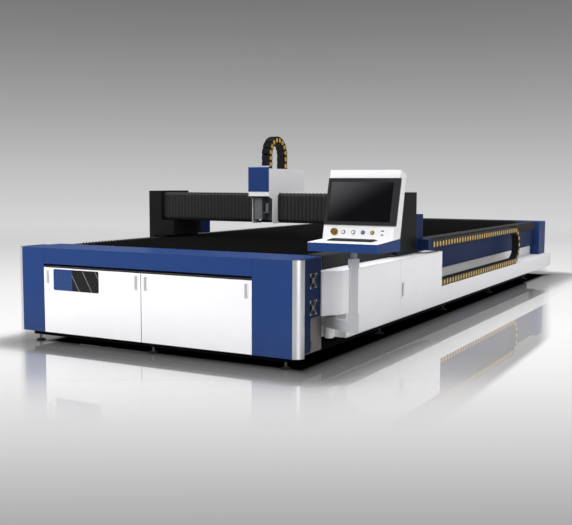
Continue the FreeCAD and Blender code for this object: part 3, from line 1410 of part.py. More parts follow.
def console_case_with_buttons():
    """The case with a ring and a drilled hole for every button."""
    case = console_case()
    zero = Size("0", 0)
    rings = []
    holes = [face_rod("stop_hole", stem_radius + fit_gap, STOP_OFFSET, -thin_wall, 8 * thin_wall)]
    for offset in BUTTONS.values():
        ring = face_rod("ring_disc", button_ring, offset, -thin_wall - 1, zero)
        hollow = face_rod("ring_hollow", button_radius + fit_gap, offset, -thin_wall - 2, zero)
        rings.append(cut("ring", ring, hollow))
        holes.append(face_rod("button_hole", stem_radius + fit_gap, offset, -thin_wall,
                              8 * thin_wall))
    drilled = cut("case_drilled", case, *holes)
    return keep(fuse("console_case_shell", drilled, *rings), "console_shell")


def console_screen():
    """Monitor: a proud frame with a shallow glass recess and a body behind the face."""
    body = new_body("console_screen")
    zero = Size("0", 0)
    pad(body, "YZ", post_x - screen_half, post_x + screen_half,
        sloping(screen_low, screen_high, -screen_proud, zero))
    pad(body, "YZ", post_x - screen_body, post_x + screen_body,
        sloping(screen_low + 20, screen_high - 20, zero, screen_back))
    pocket(body, "YZ", post_x - screen_body - 12, post_x + screen_body - 12,
           sloping(screen_low + 26, screen_high - 30, -screen_proud - 1, -screen_proud + 1.5))
    return keep(body, "console_screen")


def emergency_stop():
    """Mushroom cap on a stem."""
    cap = face_rod("stop_cap", stop_radius, STOP_OFFSET, -stop_travel - 19, -stop_travel - 3)
    neck = face_rod("stop_neck", stem_radius + 4, STOP_OFFSET, -stop_travel - 4,
                    -stop_travel - touch_gap)
    stem = face_rod("stop_stem", stem_radius, STOP_OFFSET, -stop_travel - 4, thin_wall * 4)
    return keep(fuse("emergency_stop", cap, neck, stem), "emergency_stop")


def push_button(name, offset):
    """Flat cap inside its ring, on a stem."""
    cap = face_rod(name + "_cap", button_radius, offset, -button_travel - 4,
                   -button_travel - touch_gap)
    stem = face_rod(name + "_stem", stem_radius, offset, -button_travel - 1, thin_wall * 4)
    return keep(fuse(name, cap, stem), name)


def keyboard():
    """Low case with rows of keys, lying on the tray."""
    body = new_body("keyboard")
    half = keyboard_width / 2
    pad(body, "XY", Size("0", 0), keyboard_height,
        rectangle(-half, half, Size("0", 0), keyboard_depth))
    row = pad(body, "XY", keyboard_height, keyboard_height + key_height,
              rectangle(-half + 12, half - 12, Size("12", 12), key_pitch + 8))
    repeat(body, row, "Y", key_pitch, KEY_ROWS)
    y = tray_front + keyboard_lead
    z = tray_front_high + keyboard_lead * sine(tray_slope)
    turn(body, (1, 0, 0), tray_slope, post_x, y, z + touch_gap / 2)
    return keep(body, "keyboard")


# ---------------------------------------------------------------- assembly

def build():
    bed_frame()
    levelling_feet()
    side_wall("side_wall_left", -1)
    side_wall("side_wall_right", 1)
    front_housing()
    corner_columns()
    end_cover("end_cover_left", -1, False)
    end_cover("end_cover_right", 1, True)
    fan_units()
    fan_rotor("fan_rotor_lower", 0)
    fan_rotor("fan_rotor_upper", 1)
    rear_cover()
    chain_tray()
    slat_table()
    long_rails()
    left = (drawer_left_edge + front_gap, drawer_split - front_gap)
    right = (drawer_split + front_gap, drawer_right_edge - front_gap)
    for side, edges in (("left", left), ("right", right)):
        drawer("scrap_drawer_" + side, *edges)
        drawer_handles("drawer_handles_" + side, *edges)
    cabinet_body()
    first = cabinet_front + thin_wall + door_gap
    last = cabinet_rear - thin_wall - door_gap
    cabinet_door("cabinet_door_front", first, door_split - 2)
    cabinet_door("cabinet_door_rear", door_split + 2, last)
    door_latch()
    drive_panel()
    junction_box()
    for name, side in (("left", -1), ("right", 1)):
        gantry_end("gantry_end_" + name, side)
        gantry_leg("gantry_leg_" + name, side, side > 0)
    gantry_saddles()
    gantry_beam()
    cross_rails()
    cross_slide()
    head_housing()
    head_front_plate()
    lift_plate()
    cutting_head()
    nozzle()
    rail_bellows("rail_bellows_front", housing_rear + touch_gap, gantry_front - touch_gap,
                 FRONT_FOLDS)
    rail_bellows("rail_bellows_rear", gantry_rear + touch_gap, bed_rear - touch_gap, REAR_FOLDS)
    beam_bellows("beam_bellows_left", -column_inner + touch_gap, carriage_left - touch_gap)
    beam_bellows("beam_bellows_right", carriage_right + touch_gap, column_inner - touch_gap)
    long_chain()
    arched_chain()
    cross_chain()
    console_bracket()
    console_arm()
    console_post()
    keyboard_tray()
    console_case_with_buttons()
    console_screen()
    emergency_stop()
    for name, offset in BUTTONS.items():
        push_button(name, offset)
    keyboard()


def check():
    """Stop on any failed feature, on a pocket that cut nothing and on an empty piece."""
    for item in doc.Objects:
        if "Invalid" in item.State or "Error" in item.State:
            raise RuntimeError(f"{item.Name} failed: {item.State}")
        if item.TypeId == "PartDesign::Pocket":
            if item.Shape.Volume >= item.BaseFeature.Shape.Volume - 1:
                raise RuntimeError(f"{item.Name} cuts nothing")
    for item in pieces:
        if item.Shape.isNull() or not item.Shape.isValid() or not item.Shape.Solids:
            raise RuntimeError(f"{item.Label} has no valid solid")


def write():
    os.makedirs("parts", exist_ok=True)
    for item in pieces:
        item.Shape.exportStep(f"parts/{item.Label}.step")


build()
doc.recompute()
check()
write()
print(len(pieces), "pieces written")
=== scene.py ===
"""Looks of the gantry laser cutting machine, laid out as an add-on and run as a script.

Lengths are in metres in the machine's own frame: +X is the operator's side, +Y runs from the
scrap drawers to the rear end, +Z is up and the origin is on the floor under the front row of feet.
"""

import math
from itertools import product
from types import SimpleNamespace

import bmesh
import bpy
from mathutils import Matrix, Vector


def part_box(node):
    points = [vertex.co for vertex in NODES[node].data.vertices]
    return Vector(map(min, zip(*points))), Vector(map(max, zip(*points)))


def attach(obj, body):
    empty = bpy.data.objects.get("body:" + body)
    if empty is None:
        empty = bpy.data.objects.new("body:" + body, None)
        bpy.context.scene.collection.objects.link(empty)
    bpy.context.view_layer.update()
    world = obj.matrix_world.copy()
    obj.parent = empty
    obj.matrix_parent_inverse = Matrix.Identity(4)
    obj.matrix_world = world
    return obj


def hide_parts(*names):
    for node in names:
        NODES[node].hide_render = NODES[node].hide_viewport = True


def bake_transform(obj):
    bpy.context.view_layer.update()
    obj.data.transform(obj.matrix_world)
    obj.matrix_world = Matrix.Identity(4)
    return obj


bl_info = {
    "name": "Gantry laser cutter finishes",
    "version": (1, 0, 0),
    "blender": (4, 5, 0),
    "location": "View3D > Sidebar > Laser cutter",
    "description": "Finishes, bellows, cable chains and studio of a gantry laser cutting machine",
    "category": "Object",
}

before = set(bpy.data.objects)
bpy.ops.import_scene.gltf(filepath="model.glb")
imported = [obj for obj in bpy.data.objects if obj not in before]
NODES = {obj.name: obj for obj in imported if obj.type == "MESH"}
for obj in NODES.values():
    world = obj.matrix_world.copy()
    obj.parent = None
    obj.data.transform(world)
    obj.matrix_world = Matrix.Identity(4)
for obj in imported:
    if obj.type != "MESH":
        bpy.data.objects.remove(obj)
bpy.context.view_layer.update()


# ---------------------------------------------------------------- user settings

def colour_setting(label, text, value):
    return bpy.props.FloatVectorProperty(name=label, description=text, subtype="COLOR", size=3,
                                         min=0.0, max=1.0, default=value)


def length_setting(label, text, value):
    return bpy.props.FloatProperty(name=label, description=text, unit="LENGTH", min=0.0,
                                   default=value)


def count_setting(label, text, value):
    return bpy.props.IntProperty(name=label, description=text, min=1, default=value)


class CutterColours(bpy.types.PropertyGroup):
    """Colours of the machine's paints and plastics."""

    blue: colour_setting("Blue enamel", "Covers, beams and drive boxes", (0.0202, 0.0520, 0.176))
    white: colour_setting("White enamel", "Drawers, head cover and console", (0.88, 0.88, 0.89))
    pale: colour_setting("Pale enamel", "Side cabinet and chain tray", (0.84, 0.84, 0.85))
    black: colour_setting("Black enamel", "Gantry castings", (0.0125, 0.0125, 0.013))
    cloth: colour_setting("Bellows cloth", "Folded covers", (0.026, 0.026, 0.027))
    yellow: colour_setting("Chain yellow", "Lids of the chain links", (0.52, 0.32, 0.035))
    floor: colour_setting("Floor", "Studio floor near the machine", (0.860, 0.848, 0.854))


class CutterSizes(bpy.types.PropertyGroup):
    """Sizes of the repeated small parts."""

    tooth: length_setting("Tooth", "Width of one tooth of a support slat", 0.030)
    slat: length_setting("Slat distance", "Distance between support slats", 0.0625)
    fold: length_setting("Fold", "Length of one bellows fold", 0.043)
    link: length_setting("Chain link", "Length of a link of the long chain", 0.093)
    arch_link: length_setting("Arch link", "Length of a link of the arched chain", 0.062)
    screw: length_setting("Screw head", "Radius of a cover screw's head", 0.0075)
    key_columns: count_setting("Key columns", "Keys in one row of the keyboard", 15)
    key_rows: count_setting("Key rows", "Rows of keys on the keyboard", 5)


# ---------------------------------------------------------------- node expressions

class Value:
    """A node's output that adds the Math node for each operator used on it."""

    def __init__(self, tree, socket):
        self.tree = tree
        self.socket = socket

    def other(self, name):
        """Another output of the same node."""
        return Value(self.tree, self.socket.node.outputs[name])

    def __add__(self, other):
        return self.tree.math("ADD", self, other)

    def __sub__(self, other):
        return self.tree.math("SUBTRACT", self, other)

    def __rsub__(self, other):
        return self.tree.math("SUBTRACT", other, self)

    def __mul__(self, other):
        return self.tree.math("MULTIPLY", self, other)

    def __truediv__(self, other):
        return self.tree.math("DIVIDE", self, other)

    __radd__ = __add__


def socket_label(name):
    """A socket's label from its name in the code."""
    return name.replace("_", " ").title().replace("Ior", "IOR")


class Tree:
    """A node tree whose nodes all come from one method; family starts its short node names."""

    family = "ShaderNode"

    def __init__(self, tree):
        self.tree = tree

    def add(self, kind, settings=None, output=0, numbered=(), **named):
        """Add a node, give it its settings, then its sockets' values or links."""
        node = self.tree.nodes.new(kind if "Node" in kind else self.family + kind)
        for name, value in (settings or {}).items():
            setattr(node, name, value)
        named = {socket_label(name): value for name, value in named.items()}
        for key, value in {**dict(numbered), **named}.items():
            self.feed(node.inputs[key], value)
        return Value(self, node.outputs[output]) if len(node.outputs) else node

    def feed(self, socket, value):
        if isinstance(value, Value):
            self.tree.links.new(value.socket, socket)
        elif value is not None:
            socket.default_value = value

    def math(self, operation, *values):
        return self.add("ShaderNodeMath", {"operation": operation}, numbered=enumerate(values))

    def split(self, vector, axis):
        """One of a vector's three numbers."""
        return self.add("ShaderNodeSeparateXYZ", output=axis, vector=vector)

    def ramp(self, factor, *stops):
        """A colour ramp from (position, grey or colour) pairs."""
        shades = self.add("ShaderNodeValToRGB", fac=factor)
        elements = shades.socket.node.color_ramp.elements
        while len(elements) < len(stops):
            elements.new(0.5)
        for element, (position, shade) in zip(elements, stops):
            element.position = position
            element.color = (*(shade if isinstance(shade, tuple) else (shade,) * 3), 1.0)
        return shades

    def mixed_shader(self, factor, first, second):
        return self.add("ShaderNodeMixShader", numbered=enumerate((factor, first, second)))

    def seen_directly(self):
        """1 for what the camera sees itself, in gloss or through glass, and 0 for other light."""
        camera, glossy, transmission = (
            self.add("ShaderNodeLightPath", output=f"Is {ray} Ray")
            for ray in ("Camera", "Glossy", "Transmission"))
        return self.math("MAXIMUM", self.math("MAXIMUM", camera, glossy), transmission)


class Paint(Tree):
    """One material, written as expressions on its node tree."""

    def __init__(self, name):
        self.material = bpy.data.materials.new(name)
        self.material.use_nodes = True
        super().__init__(self.material.node_tree)
        self.shader = self.tree.nodes["Principled BSDF"]
        self.place = self.add("TexCoord", output="Object")

    def stretched(self, x, y, z):
        """Object coordinates scaled along each axis."""
        return self.add("Mapping", vector=self.place, scale=(x, y, z))

    def axis(self, name):
        return self.split(self.place, name)

    def noise(self, scale, detail=2.0, where=None):
        return self.add("TexNoise", vector=where or self.place, scale=scale, detail=detail)

    def between(self, factor, low, high):
        """0 at one value and 1 at another, smooth on the way."""
        return self.add("MapRange", {"interpolation_type": "SMOOTHSTEP"}, value=factor,
                        from_min=low, from_max=high)

    def mix(self, factor, first, second, blend="MIX"):
        """Mix two colours."""
        settings = {"data_type": "RGBA", "blend_type": blend}
        first, second = ((*c, 1.0) if isinstance(c, tuple) else c for c in (first, second))
        return self.add("Mix", settings, 2, {0: factor, 6: first, 7: second})

    def bump(self, height, strength, distance):
        return self.add("Bump", height=height, strength=strength, distance=distance)

    def finish(self, **sockets):
        for name, value in sockets.items():
            self.feed(self.shader.inputs[socket_label(name)],
                      (*value, 1.0) if isinstance(value, tuple) else value)
        return self.material

    def level(self, axis, low, high):
        """0 at one place along an axis and 1 at another."""
        return self.between(self.axis(axis), low, high)

    def coat(self, cloud, colour, dark, light, roughness, relief, **sockets):
        """Finish with a colour and a gloss that vary with one noise, and a fine relief."""
        body = self.mix(cloud, tinted(colour, dark), tinted(colour, light))
        return self.finish(base_color=body, roughness=cloud * 0.12 + roughness,
                           normal=self.bump(*relief), **sockets)


def tinted(colour, factor):
    return tuple(channel * factor for channel in colour)


# ---------------------------------------------------------------- finishes

def enamel(name, colour, roughness=0.36, shine=0.3, soil=0.10, other=None):
    """Sprayed sheet metal: faint orange peel, cloudy gloss and a little dust near the floor.

    other is a second colour and the function that tells its place on the paint's axes.
    """
    paint = Paint(name)
    cloud = paint.noise(1.3, 3.0)
    peel = paint.noise(210.0)
    streak = paint.noise(9.0, 4.0, paint.stretched(1.0, 1.0, 0.18))
    body = paint.mix(cloud, tinted(colour, 0.95), tinted(colour, 1.04))
    dust = paint.level("Z", 0.55, 0.08) * streak * soil
    body = paint.mix(dust, body, (0.20, 0.19, 0.18))
    if other:
        shade, place = other
        body = paint.mix(place(paint), body, shade)
    gloss = cloud * 0.10 + streak * 0.05 + (roughness - 0.07)
    return paint.finish(base_color=body, roughness=gloss, specular_ior_level=shine,
                        normal=paint.bump(peel, 0.10, 0.0004))


def below(level):
    return lambda paint: paint.level("Z", level + 0.004, level)


def rear_top(paint):
    """The rear cover's top sheet, except at its outer end."""
    sheet, outer_end = 0.845, 1.105
    high = paint.level("Z", sheet, sheet + 0.0002)
    return high * paint.level("X", outer_end, outer_end - 0.005)


def shaded_housing_foot(paint):
    """Painted shade: the lower side of the front housing behind the end cover, in a dim brownish
    grey.
    """
    side, top, cover, soft = 1.380, 0.401, 0.060, 0.002
    outer = paint.between(paint.math("ABSOLUTE", paint.axis("X")), side, side + soft)
    low = paint.level("Z", top, top - soft)
    return outer * low * paint.level("Y", cover, cover + soft)


def lit_handle_well(paint):
    """The inside of a drawer handle's cup, painted lighter than the rim against the shade in it:
    painted light.
    """
    rim = -0.0996
    return paint.level("Y", rim, rim + 0.0006)


def plate_edge(paint):
    """The folded top edge of the carriage's front plate."""
    fold = 1.590
    return paint.level("Z", fold, fold + 0.002)


def casting_enamel(name, colour):
    """Thick textured paint on the gantry's castings."""
    paint = Paint(name)
    grain = paint.noise(160.0, 3.0)
    return paint.coat(paint.noise(2.2, 3.0), colour, 0.80, 1.25, 0.42, (grain, 0.25, 0.0006),
                      specular_ior_level=0.05)


def brushed(name, colour, roughness, stretch, metallic=1.0):
    """Metal with fine lines along one axis."""
    paint = Paint(name)
    lines = paint.noise(1.0, 3.0, paint.stretched(*stretch))
    return paint.coat(lines, colour, 0.86, 1.08, roughness - 0.05, (lines, 0.10, 0.0003),
                      metallic=metallic)


def scorched_steel():
    """Support slats: dark scale with spatter and brighter burnt tips."""
    paint = Paint("scorched_steel")
    scale = paint.noise(38.0, 5.0)
    burn = paint.noise(4.0, 3.0)
    body = paint.ramp(scale, (0.30, (0.006, 0.006, 0.007)), (0.62, (0.020, 0.019, 0.019)),
                      (0.85, (0.050, 0.044, 0.038)))
    tips = paint.level("Z", 0.853, 0.867) * burn
    body = paint.mix(tips * 0.45, body, (0.15, 0.14, 0.135))
    return paint.finish(base_color=body, roughness=scale * 0.25 + 0.42, metallic=0.55,
                        normal=paint.bump(scale, 0.35, 0.0010))


def bellows_cloth(colour):
    """Coated cloth: woven grain, a painted highlight on the crests and painted shade deep in the
    folds.
    """
    paint = Paint("bellows_cloth")
    tuck = paint.add("Attribute", {"attribute_name": "tuck_amount"}, "Fac")
    weave = [paint.add("TexWave", {"bands_direction": axis}, vector=paint.place,
                       scale=260.0) for axis in "XZ"]
    cloud = paint.noise(6.0, 4.0)
    # Painted light and shade by fold depth: bright crests, dark valleys
    body = paint.ramp(tuck, (0.0, tinted(colour, 2.6)), (0.14, tinted(colour, 1.4)),
                      (0.40, tinted(colour, 0.40)), (1.0, tinted(colour, 0.08)))
    body = paint.mix(cloud * 0.35, body, tinted(colour, 0.7))
    return paint.finish(base_color=body, roughness=0.42 + cloud * 0.16 + tuck * 0.2,
                        specular_ior_level=0.15,
                        normal=paint.bump(weave[0] + weave[1], 0.12, 0.0005))


def moulded(name, colour, roughness=0.45, grain=300.0, shine=0.3):
    """Moulded plastic with a fine spark-eroded grain."""
    paint = Paint(name)
    return paint.coat(paint.noise(7.0, 3.0), colour, 0.86, 1.12, roughness - 0.06,
                      (paint.noise(grain), 0.15, 0.0003), specular_ior_level=shine)


def screen_glass():
    """Dark switched-off panel with a painted reflection that brightens towards its upper left
    corner.
    """
    paint = Paint("screen_glass")
    # Painted reflection: lighter towards the upper left
    painted_sheen = paint.between(paint.axis("Z") - paint.axis("X") * 0.60, 0.18, 0.62)
    smear = paint.noise(14.0, 4.0)
    body = paint.mix(painted_sheen, (0.003, 0.003, 0.004), (0.075, 0.075, 0.078))
    return paint.finish(base_color=body, roughness=smear * 0.08 + 0.14, specular_ior_level=0.15)


def badge_plate(blue):
    """Unprinted two-colour plate: plain blue beside black with slanting pinstripes."""
    paint = Paint("badge_plate")
    low, high = badge_box()
    split = low.x + 0.42 * (high.x - low.x)
    right = paint.level("X", split - 0.001, split + 0.001)
    stripes_per_metre, line_share = 7.0, 0.035
    stripe = paint.math("FRACT", (paint.axis("X") + paint.axis("Z") * 0.6) * stripes_per_metre)
    line = paint.math("LESS_THAN", stripe, line_share) * right
    body = paint.mix(right, blue, (0.010, 0.010, 0.011))
    body = paint.mix(line * 0.55, body, (0.55, 0.56, 0.58))
    film = paint.noise(60.0, 3.0)
    return paint.finish(base_color=body, roughness=film * 0.10 + 0.22, specular_ior_level=0.2)


VIEW_X, VIEW_Y = -0.484, 0.875  # the camera's direction along the floor
# Floor brightness along the view: painted light
FLOOR_PAINTED_LIGHT = ((0.0125, 0.446), (0.040, 0.571), (0.0685, 0.683), (0.106, 0.784), (0.139, 0.866),
               (0.173, 0.919), (0.2175, 0.98), (0.2575, 1.0), (0.3665, 0.954), (0.477, 0.91),
               (0.644, 0.84), (0.925, 0.775))
# Painted contact shadow round and under the machine
CONTACT_SHADE = ((0.178, 0.0), (0.190, 0.16), (0.200, 0.30), (0.220, 0.38), (0.250, 0.46),
                 (0.270, 0.64), (0.290, 0.90), (0.320, 1.0))
MIRROR_REACH = ((0.172, 0.0), (0.192, 1.0), (0.500, 1.0), (0.800, 0.0))
MIRROR_STRENGTH = ((0.165, 0.0), (0.28, 0.06), (0.33, 0.11), (0.385, 0.19), (0.4425, 0.29),
                   (0.475, 0.36), (0.54, 0.50), (0.6125, 0.58), (0.75, 0.64))
# Lines of X and Y shares, with the place where the mirror image is gone and where it is whole
MIRROR_EDGES = ((1.0, 1.02, -1.56, -1.44), (1.0, 0.223, 3.34, 3.18), (1.0, 0.026, 2.86, 2.77),
                (1.0, 0.0, -2.9, -1.3), (0.0, 1.0, 10.4, 8.4))
MACHINE_FOOT = (("X", -1.30, 1.52), ("Y", -0.10, 8.40))
FLOOR_FADE = (9.0, 24.0)  # metres along the view, from whole to clear


def studio_floor(colour):
    """Pale polished floor with painted light along the view, a painted shadow under the machine,
    and an image of it that fades outwards.
    """
    paint = Paint("studio_floor")
    x, y = paint.axis("X"), paint.axis("Y")
    along = y * VIEW_Y + x * VIEW_X
    painted_falloff = paint.ramp((along + 4.0) / 20.0, *FLOOR_PAINTED_LIGHT)
    sides = [paint.math("MAXIMUM", low - paint.axis(name), paint.axis(name) - high)
             for name, low, high in MACHINE_FOOT]
    outside = [paint.math("POWER", paint.math("MAXIMUM", side, 0.0), 2.0) for side in sides]
    depth = paint.math("MINIMUM", paint.math("MAXIMUM", *sides), 0.0)
    away = (paint.math("SQRT", outside[0] + outside[1]) + depth) * 0.2 + 0.2
    shade = paint.ramp(away, *CONTACT_SHADE)
    body = paint.mix(1.0, paint.mix(1.0, painted_falloff, colour, "MULTIPLY"), shade, "MULTIPLY")
    cloud = paint.noise(0.35)
    paint.finish(base_color=body, roughness=cloud * 0.1 + 0.5, specular_ior_level=0.0)
    plain = paint.add("Emission", color=body, strength=1.0)
    evened = paint.mixed_shader(paint.seen_directly() * 0.75,
                                Value(paint, paint.shader.outputs[0]), plain)
    image = paint.add("BsdfGlossy", color=(0.92, 0.92, 0.92, 1.0), roughness=cloud * 0.006 + 0.004)
    mirror = paint.ramp(away, *MIRROR_REACH) * paint.ramp((along + 3.0) / 4.0, *MIRROR_STRENGTH)
    for share_x, share_y, gone, whole in MIRROR_EDGES:
        mirror = mirror * paint.between(x * share_x + y * share_y, gone, whole)
    mirror = mirror * paint.between(paint.add("Fresnel", ior=1.5), 0.045, 0.15)
    polished = paint.mixed_shader(mirror, evened, image)
    far = paint.between(paint.math("ABSOLUTE", along), *FLOOR_FADE)
    faded = paint.mixed_shader(far, polished, paint.add("BsdfTransparent"))
    paint.feed(paint.tree.nodes["Material Output"].inputs["Surface"], faded)
    return paint.material


def finishes(colours):
    """Make every finish once; the operators look them up by name."""
    blue, black = tuple(colours.blue), tuple(colours.black)
    enamel("blue_enamel", blue, 0.34, 0.05)
    # Blue darkened to 0.42 for the end covers and gantry legs on the side away from the light:
    # painted shade
    enamel("navy_enamel", tinted(blue, 0.42), 0.34, 0.02)
    # The brownish grey on the housing's lower side is painted shade
    enamel("housing_enamel", blue, 0.34, 0.05, 0.1, ((0.26, 0.245, 0.235), shaded_housing_foot))
    # Rear cover's blue darkened to 0.8: painted shade; its top sheet is black
    enamel("rear_enamel", tinted(blue, 0.8), 0.34, 0.03, 0.1, (black, rear_top))
    enamel("plate_enamel", blue, 0.34, 0.05, 0.0, ((0.30, 0.32, 0.40), plate_edge))
    # Bed frame's blue darkened to 0.45, and near black below 0.3 m under the bed: painted shade
    enamel("frame_enamel", tinted(blue, 0.45), 0.40, 0.02, 0.15, (tinted(black, 0.3), below(0.300)))
    enamel("tray_enamel", blue, 0.34, 0.05, 0.0, ((0.27, 0.28, 0.30), below(0.905)))
    enamel("white_enamel", tuple(colours.white), 0.36, 0.3, 0.05)
    enamel("pale_enamel", tuple(colours.pale), 0.40, 0.3, 0.05)
    enamel("silver_enamel", (0.50, 0.51, 0.53), 0.34, 0.4, 0.0)
    enamel("grey_enamel", (0.15, 0.155, 0.165), 0.38, 0.3, 0.0)
    # The cup's pale inside is painted light
    enamel("handle_enamel", (0.46, 0.455, 0.455), 0.38, 0.3, 0.0,
           ((0.90, 0.90, 0.90), lit_handle_well))
    casting_enamel("black_enamel", black)
    brushed("column_aluminium", (0.80, 0.81, 0.82), 0.26, (420.0, 420.0, 6.0))
    brushed("rail_steel", (0.50, 0.51, 0.52), 0.24, (300.0, 5.0, 300.0))
    brushed("turned_steel", (0.62, 0.63, 0.65), 0.22, (260.0, 260.0, 900.0))
    brushed("ring_steel", (0.16, 0.16, 0.17), 0.22, (260.0, 260.0, 260.0))
    brushed("dark_steel", (0.10, 0.10, 0.105), 0.42, (60.0, 60.0, 60.0), 0.8)
    moulded("chain_black", (0.011, 0.011, 0.012), 0.46, 300.0, 0.15)
    moulded("chain_yellow", tuple(colours.yellow), 0.34, 300.0, 0.5)
    moulded("fan_black", (0.022, 0.022, 0.024), 0.42)
    moulded("guard_grey", (0.14, 0.14, 0.145), 0.40)
    moulded("bezel_black", (0.024, 0.024, 0.025), 0.30, 700.0, 0.15)
    moulded("key_black", (0.024, 0.024, 0.025), 0.48, 800.0, 0.15)
    moulded("amber", (0.55, 0.30, 0.02), 0.25, 500.0)
    moulded("stop_brown", (0.17, 0.095, 0.012), 0.30, 500.0)
    moulded("lens_white", (0.85, 0.86, 0.87), 0.22, 500.0)
    moulded("lens_blue", (0.10, 0.22, 0.55), 0.22, 500.0)
    moulded("dark_gap", (0.004, 0.004, 0.004), 0.7)
    # Black of the drawers' edge bands: painted shade
    moulded("seal_rubber", (0.016, 0.016, 0.016), 0.6)
    bellows_cloth(tuple(colours.cloth))
    scorched_steel()
    screen_glass()
    badge_plate(blue)
    studio_floor(tuple(colours.floor))


NODE_FINISHES = {
    "navy_enamel": "end_cover_left end_cover_right gantry_leg_left gantry_leg_right",
    "housing_enamel": "front_housing",
    "rear_enamel": "rear_cover",
    "plate_enamel": "head_front_plate",
    "tray_enamel": "keyboard_tray",
    "frame_enamel": "bed_frame",
    "white_enamel": "scrap_drawer_left scrap_drawer_right head_housing console_shell",
    "pale_enamel": "side_wall_left side_wall_right chain_tray cabinet_body cabinet_door_front "
                   "cabinet_door_rear junction_box console_bracket",
    "silver_enamel": "console_arm console_post",
    "grey_enamel": "cutting_head",
    "black_enamel": "gantry_end_left gantry_end_right gantry_beam gantry_saddles cross_slide "
                    "drive_panel",
    "column_aluminium": "corner_columns",
    "rail_steel": "long_rails cross_rails",
    "turned_steel": "nozzle",
    "dark_steel": "levelling_feet lift_plate",
    "fan_black": "fan_rotor_lower fan_rotor_upper door_latch",
    "guard_grey": "fan_units",
    "handle_enamel": "drawer_handles_left drawer_handles_right",
    "bezel_black": "console_screen",
    "stop_brown": "emergency_stop",
    "lens_white": "start_button pause_button",
    "lens_blue": "follow_button",
    "amber": "power_button",
}


# ---------------------------------------------------------------- mesh helpers

def new_object(name, mesh):
    item = bpy.data.objects.new(name, mesh)
    bpy.context.scene.collection.objects.link(item)
    return item


def give_finish(item, name):
    """Put one finish on every face of an object."""
    item.data.materials.clear()
    item.data.materials.append(bpy.data.materials[name])
    for face in item.data.polygons:
        face.material_index = 0
    return item


def mesh_object(name, bm, finish, smooth=False):
    """Turn a bmesh into an object with one finish."""
    bmesh.ops.recalc_face_normals(bm, faces=bm.faces)
    mesh = bpy.data.meshes.new(name)
    bm.to_mesh(mesh)
    bm.free()
    for face in mesh.polygons:
        face.use_smooth = smooth
    return give_finish(new_object(name, mesh), finish)


def fasten(item, body=None, node=None):
    """Attach a piece to the body it rides on and hide the node it stands for."""
    if body:
        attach(item, body)
    if node:
        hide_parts(node)


def add_block(bm, low, high, bevel=0.0, matrix=None):
    """Add a box between two corners with rounded edges."""
    low, high = Vector(low), Vector(high)
    verts = bmesh.ops.create_cube(bm, size=1.0)["verts"]
    bmesh.ops.scale(bm, vec=high - low, verts=verts)
    bmesh.ops.translate(bm, vec=(low + high) / 2, verts=verts)
    if bevel:
        edges = list({edge for vert in verts for edge in vert.link_edges})
        made = bmesh.ops.bevel(bm, geom=edges, offset=bevel, segments=2, profile=0.6,
                               affect="EDGES")
        verts = list({vert for face in made["faces"] for vert in face.verts} | {
            vert for vert in verts if vert.is_valid})
    if matrix is not None:
        bmesh.ops.transform(bm, matrix=matrix, verts=verts)


def add_prism(bm, first, second):
    """Add a solid between two outlines with the same number of points."""
    rows = [[bm.verts.new(place) for place in outline] for outline in (first, second)]
    for row in rows:
        bm.faces.new(row)
    for k, vert in enumerate(rows[0]):
        bm.faces.new((rows[0][k - 1], vert, rows[1][k], rows[1][k - 1]))


def add_panel(bm, low, high, corner, axis=1, steps=6):
    """Add a thin plate with rounded corners, square to an axis."""
    first, second = (k for k in range(3) if k != axis)
    outlines = []
    for level in (low[axis], high[axis]):
        outline = []
        for sign_a, sign_b in ((1, 1), (-1, 1), (-1, -1), (1, -1)):
            start = math.atan2(sign_b, sign_a) - math.pi / 4
            for k in range(steps + 1):
                angle = start + math.pi / 2 / steps * k
                place = [level] * 3
                for item, sign, share in ((first, sign_a, math.cos(angle)),
                                          (second, sign_b, math.sin(angle))):
                    middle = high[item] - corner if sign > 0 else low[item] + corner
                    place[item] = middle + corner * share
                outline.append(place)
        outlines.append(outline)
    add_prism(bm, *outlines)


def made_of(name, finish, add, *parts, smooth=False):
    """An object made of parts, each given as the function that adds it takes them."""
    bm = bmesh.new()
    for part in parts:
        add(bm, *part)
    return mesh_object(name, bm, finish, smooth)


def add_comb(bm, low_x, high_x, low_y, high_y, foot, tip, pitch=0.045, depth=0.024):
    """Add a toothed plate along Y that holds the ends of the slats."""
    count = int((high_y - low_y) / pitch)
    profile = [(low_y, foot)]
    for k in range(count):
        y = low_y + pitch * k
        profile += [(y, tip - depth), (y + pitch * 0.25, tip), (y + pitch * 0.5, tip - depth)]
    profile += [(low_y + pitch * count, tip - depth), (low_y + pitch * count, foot)]
    add_prism(bm, *([(x, y, z) for y, z in profile] for x in (low_x, high_x)))


def add_ring(bm, profile, matrix, segments=32):
    """Turn a closed profile of (radius, height) points round Z and place it."""
    rows = [[bm.verts.new(matrix @ Vector((radius * math.cos(math.tau * k / segments),
                                           radius * math.sin(math.tau * k / segments),
                                           height))) for k in range(segments)]
            for radius, height in profile]
    for first, second in zip(rows, rows[1:]):
        for k in range(segments):
            after = (k + 1) % segments
            bm.faces.new((first[k], first[after], second[after], second[k]))


# ---------------------------------------------------------------- geometry nodes

SOCKET_KINDS = {float: "NodeSocketFloat", int: "NodeSocketInt", tuple: "NodeSocketVector",
                None: "NodeSocketMaterial"}


